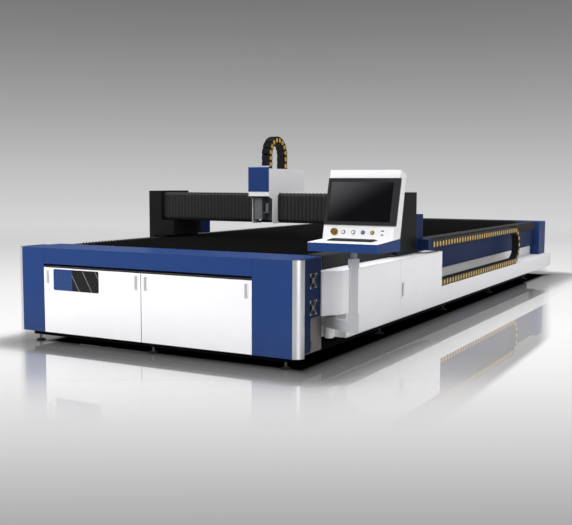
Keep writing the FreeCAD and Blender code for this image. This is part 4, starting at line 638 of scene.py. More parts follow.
class Recipe(Tree):
    """A Geometry Nodes tree with named inputs, applied to a carrier mesh and made plain."""

    family = "GeometryNode"

    def __init__(self, name, **inputs):
        super().__init__(bpy.data.node_groups.new(name, "GeometryNodeTree"))
        interface = self.tree.interface
        for way in ("OUTPUT", "INPUT"):
            interface.new_socket("Geometry", in_out=way, socket_type="NodeSocketGeometry")
        self.keys = {}
        for label, default in {**inputs, "finish": None}.items():
            kind = SOCKET_KINDS[None if default is None else type(default)]
            socket = interface.new_socket(socket_label(label), in_out="INPUT", socket_type=kind)
            if default is not None:
                socket.default_value = default
            self.keys[label] = socket.identifier
        self.start = self.tree.nodes.new("NodeGroupInput")
        self.end = self.tree.nodes.new("NodeGroupOutput")
        self.inputs = SimpleNamespace(**{
            label: Value(self, self.start.outputs[socket_label(label)])
            for label in ("geometry", *self.keys)})

    def join(self, *parts):
        node = self.tree.nodes.new("GeometryNodeJoinGeometry")
        for part in parts:
            self.tree.links.new(part.socket, node.inputs[0])
        return Value(self, node.outputs[0])

    def grid(self, size_x, size_y, vertices_x, vertices_y):
        return self.add("MeshGrid", size_x=size_x, size_y=size_y,
                        vertices_x=vertices_x, vertices_y=vertices_y)

    def thicken(self, sheet, thickness):
        """A closed plate from a flat sheet, grown along the sheet's normal."""
        grown = self.add("ExtrudeMesh", mesh=sheet, offset_scale=thickness, individual=False)
        back = self.add("FlipFaces", mesh=sheet)
        return self.add("MergeByDistance", geometry=self.join(grown, back), distance=0.00001)

    def vector(self, **numbers):
        return self.add("ShaderNodeCombineXYZ", **numbers)

    def moved(self, part, **place):
        return self.add("Transform", geometry=part, translation=self.vector(**place))

    def attribute(self, name):
        return self.add("InputNamedAttribute", {"data_type": "FLOAT_VECTOR"}, name=name)

    def scaled(self, vector, factor):
        return self.add("ShaderNodeVectorMath", {"operation": "SCALE"}, 0, {0: vector},
                        scale=factor)

    def sum(self, *vectors):
        return self.add("ShaderNodeVectorMath", {"operation": "ADD"}, 0, enumerate(vectors))

    def aligned(self, axis, vector, **others):
        """A rotation that turns one axis to a vector, free or about another axis."""
        settings = {"axis": axis, "pivot_axis": others.pop("about", "AUTO")}
        return self.add("FunctionNodeAlignRotationToVector", settings, vector=vector, **others)

    def repeated(self, points, part, turn=None):
        return self.add("InstanceOnPoints", points=points, instance=part, rotation=turn)

    def finish(self, geometry):
        """End the tree: realise the instances and set the material."""
        real = self.add("RealizeInstances", geometry=geometry)
        done = self.add("SetMaterial", geometry=real, material=self.inputs.finish)
        self.feed(self.end.inputs["Geometry"], done)
        return self

    def make(self, name, carrier, finish, **values):
        """Evaluate the tree on a carrier mesh and return a plain mesh object."""
        item = new_object(name, carrier)
        modifier = item.modifiers.new("recipe", "NODES")
        modifier.node_group = self.tree
        for label, value in {**values, "finish": bpy.data.materials[finish]}.items():
            modifier[self.keys[label]] = value
        bpy.context.view_layer.update()
        graph = bpy.context.evaluated_depsgraph_get()
        mesh = bpy.data.meshes.new_from_object(item.evaluated_get(graph),
                                               preserve_all_data_layers=True, depsgraph=graph)
        item.modifiers.clear()
        item.data = mesh
        return give_finish(item, finish)


def carrier_mesh(name, points, joined=False, **vectors):
    """A mesh of points, loose or joined in a line, with vector attributes."""
    mesh = bpy.data.meshes.new(name)
    edges = [(k, k + 1) for k in range(len(points) - 1)] if joined else []
    mesh.from_pydata([tuple(point) for point in points], edges, [])
    for label, column in vectors.items():
        attribute = mesh.attributes.new(label, "FLOAT_VECTOR", "POINT")
        for item, vector in zip(attribute.data, column):
            item.vector = vector
    return mesh


def screw_recipe():
    """Cap head screws with a socket, one on each point, turned to face outwards."""
    recipe = Recipe("cap_screws", radius=0.006, height=0.004)
    given = recipe.inputs
    head = recipe.add("MeshCylinder", {"fill_type": "NGON"}, vertices=12,
                      radius=given.radius, depth=given.height)
    inset = recipe.add("ExtrudeMesh", mesh=head, selection=head.other("Top"), offset_scale=0.0001)
    rim = inset.other("Top")
    narrow = recipe.add("ScaleElements", geometry=inset, selection=rim, scale=0.55)
    hollow = recipe.add("ExtrudeMesh", mesh=narrow, selection=rim,
                        offset_scale=given.height * -0.6)
    turn = recipe.aligned("Z", recipe.attribute("facing"))
    return recipe.finish(recipe.repeated(given.geometry, hollow, turn))


def slat_recipe():
    """Rows of upright toothed plates: a notched strip is thickened and repeated."""
    recipe = Recipe("toothed_slats", width=2.4, low=0.765, tip=0.845, notch=0.018, teeth=80,
                    thickness=0.004, slats=100, pitch=(0.0, 0.06, 0.0))
    given = recipe.inputs
    strip = recipe.grid(given.width, 1.0, given.teeth * 2 + 1, 2)
    place = recipe.add("InputPosition")
    across = recipe.split(place, "X")
    upper = recipe.math("GREATER_THAN", recipe.split(place, "Y"), 0.0)
    step = given.width / given.teeth
    phase = recipe.math("FRACT", (across + given.width * 0.5) / step + 0.001)
    valley = recipe.math("ABSOLUTE", phase * 2.0 - 1.0)
    height = given.low + upper * (given.tip - given.low - valley * given.notch)
    shaped = recipe.add("SetPosition", geometry=strip, position=recipe.vector(x=across, z=height))
    row = recipe.add("MeshLine", {"mode": "OFFSET"}, count=given.slats, offset=given.pitch)
    return recipe.finish(recipe.repeated(row, recipe.thicken(shaped, given.thickness)))


def bellows_recipe():
    """A folded cover: the section is swept along the run and tucked in at every valley."""
    recipe = Recipe("bellows", folds=10, girth=9, run=(0.0, 1.0, 0.0))
    given = recipe.inputs
    sheet = recipe.grid(1.0, 1.0, given.folds * 6 + 1, given.girth)
    place = recipe.add("InputPosition")
    along = recipe.split(place, "X") + 0.5
    around = recipe.split(place, "Y") + 0.5
    phase = recipe.math("FRACT", along * given.folds + 0.00001)
    depth = recipe.math("ABSOLUTE", phase * 2.0 - 1.0)
    amount = recipe.math("POWER", 1.0 - depth, 1.6)
    kept = recipe.add("StoreNamedAttribute", {"domain": "POINT"}, geometry=sheet,
                      name="tuck_amount", value=amount)
    section = recipe.add("MeshToCurve", mesh=given.geometry)
    settings = {"mode": "FACTOR", "data_type": "FLOAT_VECTOR", "use_all_curves": True}
    sample = recipe.add("SampleCurve", settings, curves=section,
                        value=recipe.attribute("tuck"), factor=around)
    shift = recipe.sum(recipe.scaled(sample, amount), recipe.scaled(given.run, along))
    folded = recipe.add("SetPosition", geometry=kept,
                        position=recipe.sum(sample.other("Position"), shift))
    return recipe.finish(folded)


def link_plate(recipe, length, height, thickness, corner):
    """A side plate with rounded corners, as a closed solid."""
    outline = recipe.add("CurvePrimitiveQuadrilateral", width=length, height=height)
    soft = recipe.add("FilletCurve", {"mode": "POLY"}, curve=outline, count=3,
                      radius=corner, limit_radius=True)
    return recipe.thicken(recipe.add("FillCurve", {"mode": "NGONS"}, curve=soft), thickness)


def chain_recipe(name, lids):
    """Links along a line: two side plates and two crossbars each, or only their lids."""
    recipe = Recipe(name, links=10, length=0.09, height=0.07, width=0.098, lid_length=0.5,
                    lid_height=0.8, side=(1.0, 0.0, 0.0))
    given = recipe.inputs
    length, height, width = given.length, given.height, given.width
    if lids:
        plate = link_plate(recipe, length * given.lid_length, height * given.lid_height, 0.004,
                           length * 0.22)
        levels, bars = (width * 0.5 - 0.004, width * -0.5), []
    else:
        plate = link_plate(recipe, length * 1.16, height, 0.010, height * 0.34)
        levels = (width * 0.5 - 0.012, width * -0.5 + 0.002)
        size = recipe.vector(x=length * 0.98, y=0.006, z=width - 0.010)
        bar = recipe.add("MeshCube", size=size)
        bars = [recipe.moved(bar, y=height * share) for share in (0.45, -0.45)]
    link = recipe.join(*(recipe.moved(plate, z=level) for level in levels), *bars)
    line = recipe.add("MeshToCurve", mesh=given.geometry)
    spots = recipe.add("CurveToPoints", {"mode": "COUNT"}, curve=line, count=given.links)
    turn = recipe.aligned("X", spots.other("Tangent"))
    turn = recipe.aligned("Z", given.side, about="X", rotation=turn)
    return recipe.finish(recipe.repeated(spots, link, turn))


def key_recipe():
    """Key caps with sloping sides on a grid."""
    recipe = Recipe("key_caps", columns=15, rows=5, width=0.4, depth=0.1, height=0.007)
    given = recipe.inputs
    wide = given.width / (given.columns - 1.0) * 0.86
    deep = given.depth / (given.rows - 1.0) * 0.84
    cap = recipe.add("ExtrudeMesh", mesh=recipe.grid(wide, deep, 2, 2), offset_scale=given.height)
    cap = recipe.add("ScaleElements", geometry=cap, selection=cap.other("Top"), scale=0.78)
    spots = recipe.grid(given.width, given.depth, given.columns, given.rows)
    return recipe.finish(recipe.repeated(spots, cap))


# ---------------------------------------------------------------- pieces across a joint

BREAKS = (0.12, 0.2, 0.3, 0.4, 0.5, 0.6, 0.7, 0.8, 0.88)  # places on the blend's curve
FIRST_HALF, SECOND_HALF = (0.0, 0.5), (0.5, 1.0)  # shares of the travel along a chain's runs


def smooth_inverse(weight):
    """The place between 0 and 1 at which the blend reaches a weight."""
    return 0.5 - math.sin(math.asin(1.0 - 2.0 * weight) / 3.0)


def stretch_across(piece, bodies, axis, fixed, moving, weights=(0.0, 1.0)):
    """Cut a piece into stretches along an axis, with breaks set by how a joint's travel would
    spread along it.

    fixed and moving are its two ends along the axis and weights the share of the travel there.
    """
    low, high = (smooth_inverse(weight) for weight in weights)
    breaks = [low, *(t for t in BREAKS if low + 0.01 < t < high - 0.01), high]
    slopes = [6 * t * (1 - t) for t in breaks]
    spans = [(b - a) * max(first, second)
             for a, b, first, second in zip(breaks, breaks[1:], slopes, slopes[1:])]
    made = []
    at = fixed
    unit = Vector((axis == "X", axis == "Y", axis == "Z")) * 1.0
    forward = math.copysign(1.0, moving - fixed)
    for number, (a, b, span) in enumerate(zip(breaks, breaks[1:], spans)):
        after = at + (moving - fixed) * span / sum(spans)
        part = new_object(f"{piece.name}_{number + 1}", piece.data.copy())
        bm = bmesh.new()
        bm.from_mesh(part.data)
        for place, side, last in ((at, 1.0, number == 0), (after, -1.0, number == len(spans) - 1)):
            if not last:
                bmesh.ops.bisect_plane(bm, geom=[*bm.verts, *bm.edges, *bm.faces], dist=1e-6,
                                       plane_co=unit * place, plane_no=unit * forward * side,
                                       clear_inner=True)
        bm.to_mesh(part.data)
        bm.free()
        if part.data.polygons:
            slope = (after - at) / (b - a)
            unit * (at - slope * a)
            unit * (at + slope * (1 - a))
            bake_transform(part)
            made.append(part)
        at = after
    bpy.data.objects.remove(piece)
    return made


def evenly(low, high, count):
    """Places from low to high, both included."""
    return [low + (high - low) * k / (count - 1) for k in range(count)]


# ---------------------------------------------------------------- operators

class CUTTER_OT_finish_panels(bpy.types.Operator):
    """Give every carried-over part its paint, plastic or metal"""

    bl_idname = "cutter.finish_panels"
    bl_label = "Finish panels"

    def execute(self, context):
        finishes(context.scene.cutter_colours)
        for finish, nodes in NODE_FINISHES.items():
            for node in nodes.split():
                give_finish(NODES[node], finish)
        return {"FINISHED"}


BAR, COMB = 0.010, 0.003  # thickness of the slat frame's bars and combs
SLAT_DROP, NOTCH, BAR_DROP = 0.009, 0.026, 0.041  # below the table's top, or cut into a slat
COMB_TIPS = {"left": 0.0035, "right": -0.012}  # above the table's top


class CUTTER_OT_slat_table(bpy.types.Operator):
    """Make the toothed support slats and their frame"""

    bl_idname = "cutter.slat_table"
    bl_label = "Slat table"

    def execute(self, context):
        sizes = context.scene.cutter_sizes
        low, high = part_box("slat_table")
        first, last = low.y + 0.10, high.y - BAR
        width = high.x - low.x - 2 * BAR
        slats = slat_recipe().make(
            "support_slats", carrier_mesh("slat_points", [(0, 0, 0)]), "scorched_steel",
            width=width, low=low.z, tip=high.z - SLAT_DROP, notch=NOTCH,
            slats=int((last - first) / sizes.slat), teeth=int(width / sizes.tooth),
            pitch=(0.0, sizes.slat, 0.0))
        slats.data.transform(Matrix.Translation((0.0, first, 0.0)))
        fasten(slats, "bed", "slat_table")
        bm = bmesh.new()
        for x, side in ((low.x, "left"), (high.x - COMB, "right")):
            add_comb(bm, x, x + COMB, first, last, low.z, high.z + COMB_TIPS[side])
        for y in (low.y, last):
            add_block(bm, (low.x + BAR, y, low.z), (high.x - BAR, y + BAR, high.z - BAR_DROP),
                      0.001)
        fasten(mesh_object("slat_border", bm, "black_enamel"), "bed")
        return {"FINISHED"}


def along_sides(corners, counts):
    """Points along straight sides, with a given number on each."""
    points = []
    for a, b, count in zip(corners, corners[1:], counts):
        points += [Vector(a).lerp(Vector(b), k / count) for k in range(count)]
    return points + [Vector(corners[-1])]


def folded_cover(recipe, name, corners, tucked, counts, fold, start, end, axis):
    """Bellows between two places along an axis, from its section's crests and valleys."""
    crests, valleys = along_sides(corners, counts), along_sides(tucked, counts)
    tucks = [b - a for a, b in zip(crests, valleys)]
    run = end - start
    cover = recipe.make(
        name, carrier_mesh(name + "_section", crests, True, tuck=tucks), "bellows_cloth",
        folds=max(2, round(abs(run) / fold)), girth=len(crests),
        run=(run, 0.0, 0.0) if axis == "X" else (0.0, run, 0.0))
    bm = bmesh.new()
    bm.from_mesh(cover.data)
    if sum(face.normal.dot(tucks[len(crests) // 2]) for face in bm.faces) > 0:
        bmesh.ops.reverse_faces(bm, faces=bm.faces)
    bmesh.ops.solidify(bm, geom=bm.faces, thickness=0.0012)
    bm.to_mesh(cover.data)
    bm.free()
    return cover


class CUTTER_OT_bellows(bpy.types.Operator):
    """Make the folded covers over the long rails and on the gantry beam"""

    bl_idname = "cutter.bellows"
    bl_label = "Bellows"

    def execute(self, context):
        recipe = bellows_recipe()
        fold = context.scene.cutter_sizes.fold
        depth, flat, hem, rail = 0.016, 0.006, 0.018, 0.149
        for node, moves in (("rail_bellows_front", "high"), ("rail_bellows_rear", "low")):
            low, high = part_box(node)
            a, b = abs(low.x + rail), high.x
            for side, label, top in ((-1, "left", high.z - hem), (1, "right", high.z)):
                corners, tucked = (
                    [(side * x, low.y, z) for x, z in ((a + d, low.z), (a + d, top - d),
                                                       (b - d, top - d), (b - d, low.z))]
                    for d in (0.0, depth))
                cover = folded_cover(recipe, f"{node}_{label}", corners, tucked, (3, 4, 3), fold,
                                     low.y, high.y, "Y")
                self.spread(cover, node, ("bed", "gantry"), "Y", low.y, high.y, moves)
        for node, moves in (("beam_bellows_left", "high"), ("beam_bellows_right", "low")):
            low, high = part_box(node)
            back = high.y - 0.001
            corners, tucked = (
                [(low.x, y, z) for y, z in ((back, high.z - top), (low.y + d, high.z - top),
                                            (low.y + d, low.z + foot), (back, low.z + foot))]
                for d, top, foot in ((0.0, 0.0, 0.0), (depth, flat, hem)))
            cover = folded_cover(recipe, node + "_cloth", corners, tucked, (1, 4, 1), fold,
                                 low.x, high.x, "X")
            self.spread(cover, node, ("gantry", "carriage"), "X", low.x, high.x, moves)
        return {"FINISHED"}

    def spread(self, cover, node, bodies, axis, low, high, moves):
        """Cut a cover into stretches and hide the node it stands for; moves names its moving end.
        """
        ends = (low, high) if moves == "high" else (high, low)
        for part in stretch_across(cover, bodies, axis, *ends):
            fasten(part, node=node)


def resampled(path, count, pitch):
    """The path from the middle of its first link to the middle of its last one."""
    distances = [0.0]
    for a, b in zip(path, path[1:]):
        distances.append(distances[-1] + (b - a).length)
    points = []
    for step in range(count):
        goal = (step + 0.5) * pitch
        k = max(i for i in range(len(path) - 1) if distances[i] <= goal)
        share = (goal - distances[k]) / (distances[k + 1] - distances[k])
        points.append(path[k].lerp(path[k + 1], share))
    return points


def chain_pair(recipes, name, path, link, **values):
    """The black links and the yellow lids along one path."""
    length = sum((b - a).length for a, b in zip(path, path[1:]))
    count = max(2, round(length / link))
    centres = resampled(path, count, length / count)
    return [recipe.make(f"{name}_{label}", carrier_mesh(name, centres, True), finish,
                        links=count, length=length / count, **values)
            for recipe, label, finish in zip(recipes, ("links", "lids"),
                                             ("chain_black", "chain_yellow"))]


CHAIN_SLACK = 0.004  # between a chain and the sides of the box it runs in
TURN_POINTS = 25
PLAIN_LID, ARCH_LID = (0.50, 0.80), (0.64, 0.62)  # shares of a link's length and height


class CUTTER_OT_cable_chains(bpy.types.Operator):
    """Make the links of the long, the arched and the cross cable chain"""

    bl_idname = "cutter.cable_chains"
    bl_label = "Cable chains"

    def execute(self, context):
        sizes = context.scene.cutter_sizes
        recipes = (chain_recipe("chain_links", False), chain_recipe("chain_lids", True))
        start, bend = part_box("long_chain_runs")[0].y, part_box("long_chain_bend")[0].y
        self.chain(recipes, ("long_chain_upper", "long_chain_lower", "long_chain_turn"),
                   ("long_chain_runs", "long_chain_bend"), ("bed", "gantry"), "long_bend",
                   "YZX", (start, bend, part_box("cabinet_body")[1].y), 1,
                   sizes.link, 0.070, PLAIN_LID)
        low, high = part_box("arched_chain_legs")
        self.chain(recipes, ("arch_front_leg", "arch_rear_leg", "arch_turn"),
                   ("arched_chain_legs", "arched_chain_bend"), ("carriage", "head"),
                   "arched_bend", "ZYX", (low.z, high.z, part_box("head_housing")[1].z), -1,
                   sizes.arch_link, 0.070, ARCH_LID)
        bend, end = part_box("cross_chain_bend")[1].x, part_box("cross_chain_runs")[1].x
        self.chain(recipes, ("cross_chain_upper", "cross_chain_lower", "cross_chain_turn"),
                   ("cross_chain_runs", "cross_chain_bend"), ("gantry", "carriage"),
                   "cross_bend", "XZY", (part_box("cross_slide")[0].x + 0.25, bend, end), 1,
                   sizes.arch_link * 0.9, 0.050, PLAIN_LID)
        return {"FINISHED"}

    def chain(self, recipes, names, nodes, bodies, bend_body, axes, ends, above, link, height,
              lid):
        """One chain: its moving run, its fixed run and the turn that joins them.

        axes run along the chain, from run to run and across it; ends are the moving end, the
        bend and the fixed end; above is 1 where the moving run is the farther one and -1 where
        it is the nearer one; lid is the share of a link that its lid covers.
        """
        low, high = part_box(nodes[0])
        along, level, across = ("XYZ".index(axis) for axis in axes)
        moving, bend, fixed = ends
        middle = (low[level] + high[level]) / 2
        half = above * (high[level] - low[level] - height) / 2
        radius = math.copysign(half, bend - fixed)
        values = {"link": link, "height": height, "lid_length": lid[0], "lid_height": lid[1],
                  "width": high[across] - low[across] - CHAIN_SLACK,
                  "side": tuple(float(k == across) for k in range(3))}

        def place(distance, offset):
            point = (low + high) / 2
            point[along], point[level] = distance, middle + offset
            return point

        runs = ((moving, half, (bend, moving, SECOND_HALF)),
                (fixed, -half, (fixed, bend, FIRST_HALF)))
        for name, (start, offset, travel) in zip(names, runs):
            path = [place(start, offset), place(bend, offset)]
            for part in chain_pair(recipes, name, path, **values):
                for piece in stretch_across(part, bodies, axes[0], *travel):
                    fasten(piece, node=nodes[0])
        turn = [place(bend + radius * math.cos(angle), half * math.sin(angle))
                for angle in evenly(math.pi / 2, -math.pi / 2, TURN_POINTS)]
        for part in chain_pair(recipes, names[2], turn, **values):
            fasten(part, bend_body, nodes[1])


class CUTTER_OT_screws(bpy.types.Operator):
    """Set the cover screws of the bed and the gantry"""

    bl_idname = "cutter.screws"
    bl_label = "Cover screws"

    def execute(self, context):
        radius = context.scene.cutter_sizes.screw
        recipe = screw_recipe()
        for (body, finish), places in self.spots().items():
            points, facings = zip(*places)
            screws = recipe.make(f"{body}_screws_{finish}",
                                 carrier_mesh("screw_points", points, facing=facings), finish,
                                 radius=radius, height=radius * 0.5)
            fasten(screws, body)
        return {"FINISHED"}

    def spots(self):
        """Where the screws sit and which way they face, by body and finish."""
        up, right, inset = (0, 0, 1), (1, 0, 0), 0.05
        front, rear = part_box("front_housing"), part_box("rear_cover")
        tray, fan_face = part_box("chain_tray"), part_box("end_cover_right")[1].x
        fan_y, fan_z, fan_pitch, fan_hole = 0.112, 0.476, 0.209, 0.052
        gantry = []
        for node in ("gantry_end_left", "gantry_end_right"):
            low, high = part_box(node)
            sign = 1 if high.x > 0 else -1
            outer = max(abs(low.x), abs(high.x))
            gantry += [((sign * outer, y, z), (sign, 0, 0)) for y, z in product(
                (low.y + inset, high.y - inset), evenly(0.82, high.z - inset, 3))]
        return {
            ("bed", "blue_enamel"):
                [((x, front[1].y - 0.04, front[1].z), up)
                 for x in evenly(front[0].x + 0.08, front[1].x - 0.08, 9)]
                + [((sign * rear[1].x, y, z), (sign, 0, 0)) for z, y, sign in product(
                    evenly(rear[1].z - 0.43, rear[1].z - 0.06, 3),
                    (rear[0].y + 0.03, rear[1].y - 0.03), (-1, 1))],
            ("bed", "turned_steel"):
                [((fan_face, fan_y + y, fan_z + level + z), right) for level, y, z in product(
                    (0.0, fan_pitch), (-fan_hole, fan_hole), (-fan_hole, fan_hole))],
            ("bed", "pale_enamel"):
                [((tray[1].x, y, tray[0].z + 0.03), right)
                 for y in evenly(tray[0].y + 0.25, tray[1].y - 0.25, 8)],
            ("gantry", "black_enamel"): gantry,
        }


BADGE_X, BADGE_Z = (0.112, 0.628), (0.210, 0.023)  # from the left drawer's left and top edges
BADGE_THICKNESS, BADGE_CORNER = 0.0015, 0.014


def badge_box():
    """Where the plain plate sits on the left drawer's front."""
    low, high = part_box("scrap_drawer_left")
    return (Vector((low.x + BADGE_X[0], low.y - BADGE_THICKNESS, high.z - BADGE_Z[0])),
            Vector((low.x + BADGE_X[1], low.y, high.z - BADGE_Z[1])))


PROUD = 0.0004  # how far lines and thin plates stand out of the sheet they lie on
LINE = 0.0012  # half the width of a panel joint, and the width of the painted gap shade at a drawer's edge
COVER_STEP_Y, COVER_STEP_Z = 0.068, 0.4005  # where the right end cover steps back


class CUTTER_OT_front_details(bpy.types.Operator):
    """Add the panel joints, the plain badge and the rubber stops of the bed's front"""

    bl_idname = "cutter.front_details"
    bl_label = "Front details"

    def execute(self, context):
        badge = made_of("drawer_badge", "badge_plate", add_panel,
                        (*badge_box(), BADGE_CORNER))
        fasten(badge, "left_drawer")
        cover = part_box("end_cover_right")
        self.joints(cover)
        self.add_painted_gap_shade()
        low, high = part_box("door_latch")
        face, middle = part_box("cabinet_door_rear")[1].x, (low.y + high.y) / 2
        plate = made_of("latch_plate", "lens_white", add_panel, (
            (face, middle - 0.024, low.z - 0.010),
            (face + PROUD, middle + 0.016, high.z + 0.014), 0.0195, 0))
        fasten(plate, "rear_door")
        outer = cover[1].x
        stops = made_of("rubber_stops", "fan_black", add_block, *(
            ((outer - 0.022, y - 0.002, z - 0.03), (outer + 0.001, y + 0.014, z + 0.03), 0.004)
            for y, z in ((cover[1].y, 0.80), (COVER_STEP_Y, 0.19))))
        fasten(stops, "bed")
        return {"FINISHED"}

    def joints(self, cover):
        """Dark lines between the front housing's sheets and on the right end cover."""
        low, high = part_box("front_housing")
        drawer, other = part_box("scrap_drawer_left"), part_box("scrap_drawer_right")
        left, right, top = drawer[0].x - 0.002, other[1].x + 0.002, drawer[1].z
        lines = [((left, low.y - PROUD, top + 0.001), (right, low.y + 0.001, top + 0.008)),
                 ((cover[1].x - 0.0005, cover[0].y, COVER_STEP_Z - 0.001),
                  (cover[1].x + PROUD, COVER_STEP_Y, COVER_STEP_Z + 0.001))]
        for x in (left, right):
            lines += [((x - LINE, low.y - PROUD, top + 0.02), (x + LINE, low.y + 0.001, high.z)),
                      ((x - LINE, low.y, high.z - 0.001), (x + LINE, high.y, high.z + PROUD))]
        fasten(made_of("panel_joints", "dark_gap", add_block, *lines), "bed")

    def add_painted_gap_shade(self):
        """Dark bands of painted shade along each drawer's upper and inner edge, where the gap
        beside it is in shadow.
        """
        for side in ("left", "right"):
            low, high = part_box(f"scrap_drawer_{side}")
            start, end = (high.x - LINE, high.x) if side == "left" else (low.x, low.x + LINE)
            front, back, turn = low.y - PROUD, low.y + 0.001, high.z - 0.012
            dark_band = made_of(f"drawer_seal_{side}", "seal_rubber", add_block,
                           ((low.x, front, turn), (high.x, back, high.z - 0.0002)),
                           ((start, front, low.z), (end, back, turn)))
            fasten(dark_band, f"{side}_drawer")


CONSOLE_TILT = math.radians(15.1)
KEYBOARD_SLOPE = math.radians(2.7)
CAP_RADIUS, CAP_HEIGHT = 0.011, 0.007  # of a round button
STOP_RADIUS, STOP_HEIGHT = 0.024, 0.024  # of the emergency stop
BUTTON_RING = ((0.0112, 0.0002), (0.0112, 0.0038), (0.0122, 0.0046), (0.0150, 0.0044),
               (0.0163, 0.0030), (0.0163, 0.0002), (0.0112, 0.0002))
BEZEL_DEPTH = 0.018
PORT_X, PORT_UP, PORT_HALF = (0.072, 0.092), (0.0155, -0.0155), 0.0045  # from the last button
KEY_MARGIN = (0.040, 0.032)  # of the keyboard's case round its keys, both sides together
SCREEN_GLASS = ((-0.2735, 0.0265, -0.0030), (0.2495, 0.3425, -0.0012), 0.0005)
STOP_COLLAR = ((0.0130, 0.0002), (0.0130, 0.0026), (0.0280, 0.0024), (0.0298, 0.0012),
               (0.0300, 0.0002), (0.0130, 0.0002))


def face_frame(place):
    """A frame on the console's leaning face: Z points out of it."""
    out = Vector((0.0, -math.cos(CONSOLE_TILT), math.sin(CONSOLE_TILT)))
    up = Vector((0.0, math.sin(CONSOLE_TILT), math.cos(CONSOLE_TILT)))
    basis = Matrix((Vector((1.0, 0.0, 0.0)), up, out)).transposed().to_4x4()
    return Matrix.Translation(place) @ basis


def button_frame(node, radius, proud):
    """A frame on the face under a button, from its cap's radius and front."""
    low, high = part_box(node)
    front = Vector(((low.x + high.x) / 2, low.y + radius * math.sin(CONSOLE_TILT),
                    high.z - radius * math.cos(CONSOLE_TILT)))
    return face_frame(front) @ Matrix.Translation((0.0, 0.0, -proud))


class CUTTER_OT_console_details(bpy.types.Operator):
    """Add the screen glass, button rings, sockets and keys of the console"""

    bl_idname = "cutter.console_details"
    bl_label = "Console details"

    def execute(self, context):
        low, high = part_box("console_screen")
        edge = Vector(((low.x + high.x) / 2, low.y,
                       low.z + BEZEL_DEPTH * math.sin(CONSOLE_TILT)))
        glass = made_of("screen_glass_panel", "screen_glass", add_block,
                        (*SCREEN_GLASS, face_frame(edge)))
        fasten(glass, "console")
        frames = [button_frame(node, CAP_RADIUS, CAP_HEIGHT)
                  for node in ("start_button", "pause_button", "follow_button", "power_button")]
        rings = made_of("button_rings", "ring_steel", add_ring,
                        *((BUTTON_RING, place) for place in frames), smooth=True)
        fasten(rings, "console")
        stop = button_frame("emergency_stop", STOP_RADIUS, STOP_HEIGHT)
        collar = made_of("stop_collar", "chain_yellow", add_ring, (STOP_COLLAR, stop, 40),
                         smooth=True)
        fasten(collar, "console")
        ports = made_of("data_sockets", "dark_gap", add_block, *(
            ((PORT_X[0], up - PORT_HALF, 0.0002), (PORT_X[1], up + PORT_HALF, 0.0014), 0.0005,
             frames[-1]) for up in PORT_UP))
        fasten(ports, "console")
        self.keys(context.scene.cutter_sizes)
        return {"FINISHED"}

    def keys(self, sizes):
        low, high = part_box("keyboard")
        width, depth = high.x - low.x, high.y - low.y
        base = (Matrix.Translation(((low.x + high.x) / 2, low.y, low.z))
                @ Matrix.Rotation(KEYBOARD_SLOPE, 4, "X"))
        case = made_of("keyboard_case", "key_black", add_block, (
            (-width / 2, 0.0006, 0.0), (width / 2, depth - 0.001, 0.0078), 0.0025, base))
        fasten(case, "console", "keyboard")
        caps = key_recipe().make(
            "key_caps", carrier_mesh("key_point", [(0, 0, 0)]), "key_black",
            columns=sizes.key_columns, rows=sizes.key_rows, width=width - KEY_MARGIN[0],
            depth=depth - KEY_MARGIN[1], height=0.004)
        caps.data.transform(base @ Matrix.Translation((0.0, depth / 2, 0.0077)))
        fasten(caps, "console")


# Name, place, target, size and power of each lamp
LAMPS = (("key", (-3.0, -9.0, 6.0), (0.0, 1.5, 0.8), 6.0, 800.0),
         ("side", (11.0, -1.0, 5.0), (0.5, 3.5, 0.6), 7.0, 205.0),
         ("top", (0.0, 4.5, 9.0), (0.0, 4.0, 0.8), 9.0, 1020.0),
         ("rear", (-2.0, 15.0, 6.0), (0.0, 6.0, 0.8), 6.0, 240.0))
STRIP = ("strip", (7.7, -4.9, 1.2), (1.4, -0.03, 0.6), 4.6, 150.0)
STRIP_HEIGHT = 3.5
FLOOR_RADIUS = 70.0
DARK_BOARD = ((6.0, 0.2, 0.0), (6.05, 8.6, 3.0))
SKY = ((0.237, 0.863), (0.283, 0.776), (0.313, 0.715), (0.375, 0.604), (0.40, 0.560),
       (0.45, 0.468), (0.496, 0.386), (0.556, 0.300), (0.617, 0.227), (0.673, 0.178),
       (0.80, 0.140))
EYE = (4.5349, -5.8838, 1.4346)
LOOK_LEFT, LOOK_DOWN, ROLL = 0.5054, 0.0901, 0.0029  # radians
LENS, SENSOR = 55.39, 36.0  # millimetres


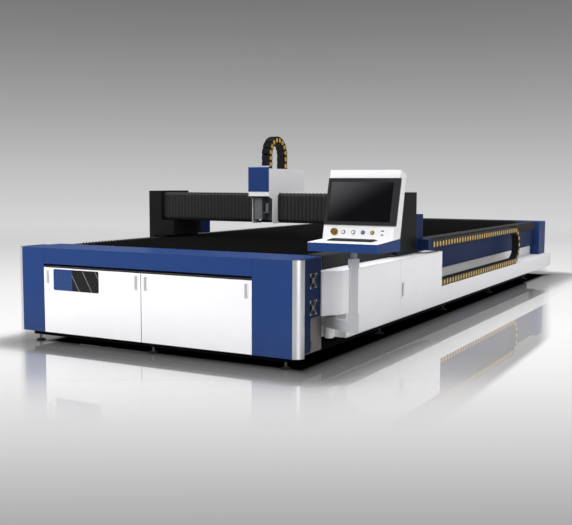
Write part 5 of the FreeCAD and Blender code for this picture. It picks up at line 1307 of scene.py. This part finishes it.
class CUTTER_OT_studio(bpy.types.Operator):
    """Set up the floor, the soft lights, the backdrop and the camera"""

    bl_idname = "cutter.studio"
    bl_label = "Studio"

    def execute(self, context):
        scene = context.scene
        scene.view_settings.view_transform = "Standard"
        bm = bmesh.new()
        bmesh.ops.create_circle(bm, cap_ends=True, segments=96, radius=FLOOR_RADIUS)
        bmesh.ops.translate(bm, vec=(0.0, 4.0, -0.001), verts=bm.verts)
        mesh_object("studio_floor", bm, "studio_floor")
        self.backdrop(scene)
        for lamp in LAMPS:
            self.lamp(*lamp)
        self.strip()
        self.dark_board()
        self.camera(scene)
        return {"FINISHED"}

    def backdrop(self, scene):
        """Grey above and pale at the horizon, seen directly and in gloss; even light elsewhere."""
        world = scene.world = bpy.data.worlds.new("studio")
        world.use_nodes = True
        world.node_tree.nodes.clear()
        air = Tree(world.node_tree)
        height = air.split(air.add("TexCoord", output="Generated"), "Z")
        seen = air.add("Background", color=air.ramp((height + 0.3) / 0.75, *SKY), strength=1.0)
        around = air.add("Background", color=(0.98, 0.98, 1.0, 1.0), strength=0.50)
        air.add("OutputWorld", surface=air.mixed_shader(air.seen_directly(), around, seen))

    def lamp(self, name, place, target, size, power):
        """A round soft lamp that doesn't show in polished surfaces."""
        data = bpy.data.lights.new(name, "AREA")
        data.shape = "DISK"
        data.size = size
        data.energy = power
        item = new_object(name, data)
        item.location = place
        item.visible_glossy = False
        item.visible_camera = False
        item.rotation_euler = (Vector(target) - Vector(place)).to_track_quat("-Z", "Y").to_euler()
        return item

    def strip(self):
        """A tall narrow lamp whose image runs down the corner column."""
        item = self.lamp(*STRIP)
        item.data.shape = "RECTANGLE"
        item.data.size_y = STRIP_HEIGHT
        item.visible_glossy = True
        item.visible_diffuse = False

    def dark_board(self):
        """A dark board that only shows in gloss, along the far edge of the corner column."""
        board = made_of("dark_board", "dark_gap", add_block, DARK_BOARD)
        for ray in ("camera", "diffuse", "transmission", "shadow"):
            setattr(board, f"visible_{ray}", False)

    def camera(self, scene):
        """Stand at the operator's corner, at eye height, looking along the bed."""
        data = bpy.data.cameras.new("view")
        data.lens = LENS
        data.sensor_width = SENSOR
        data.clip_end = 300.0
        item = new_object("view", data)
        item.matrix_world = (Matrix.Translation(EYE) @ Matrix.Rotation(LOOK_LEFT, 4, "Z")
                             @ Matrix.Rotation(math.pi / 2 - LOOK_DOWN, 4, "X")
                             @ Matrix.Rotation(ROLL, 4, "Z"))
        scene.camera = item


class CUTTER_PT_panel(bpy.types.Panel):
    """Lists the machine's finishing steps and their settings"""

    bl_label = "Laser cutter"
    bl_idname = "CUTTER_PT_panel"
    bl_space_type = "VIEW_3D"
    bl_region_type = "UI"
    bl_category = "Laser cutter"

    def draw(self, context):
        for group in (context.scene.cutter_colours, context.scene.cutter_sizes):
            box = self.layout.box()
            for name in group.__annotations__:
                box.prop(group, name)
        for step in STEPS:
            self.layout.operator(step.bl_idname)


STEPS = (CUTTER_OT_finish_panels, CUTTER_OT_slat_table, CUTTER_OT_bellows,
         CUTTER_OT_cable_chains, CUTTER_OT_screws, CUTTER_OT_front_details,
         CUTTER_OT_console_details, CUTTER_OT_studio)
CLASSES = (CutterColours, CutterSizes, *STEPS, CUTTER_PT_panel)


def register():
    for item in CLASSES:
        bpy.utils.register_class(item)
    bpy.types.Scene.cutter_colours = bpy.props.PointerProperty(type=CutterColours)
    bpy.types.Scene.cutter_sizes = bpy.props.PointerProperty(type=CutterSizes)


def unregister():
    del bpy.types.Scene.cutter_sizes
    del bpy.types.Scene.cutter_colours
    for item in reversed(CLASSES):
        bpy.utils.unregister_class(item)


def main():
    register()
    for step in STEPS:
        group, name = step.bl_idname.split(".")
        getattr(getattr(bpy.ops, group), name)()


if __name__ == "__main__":
    main()
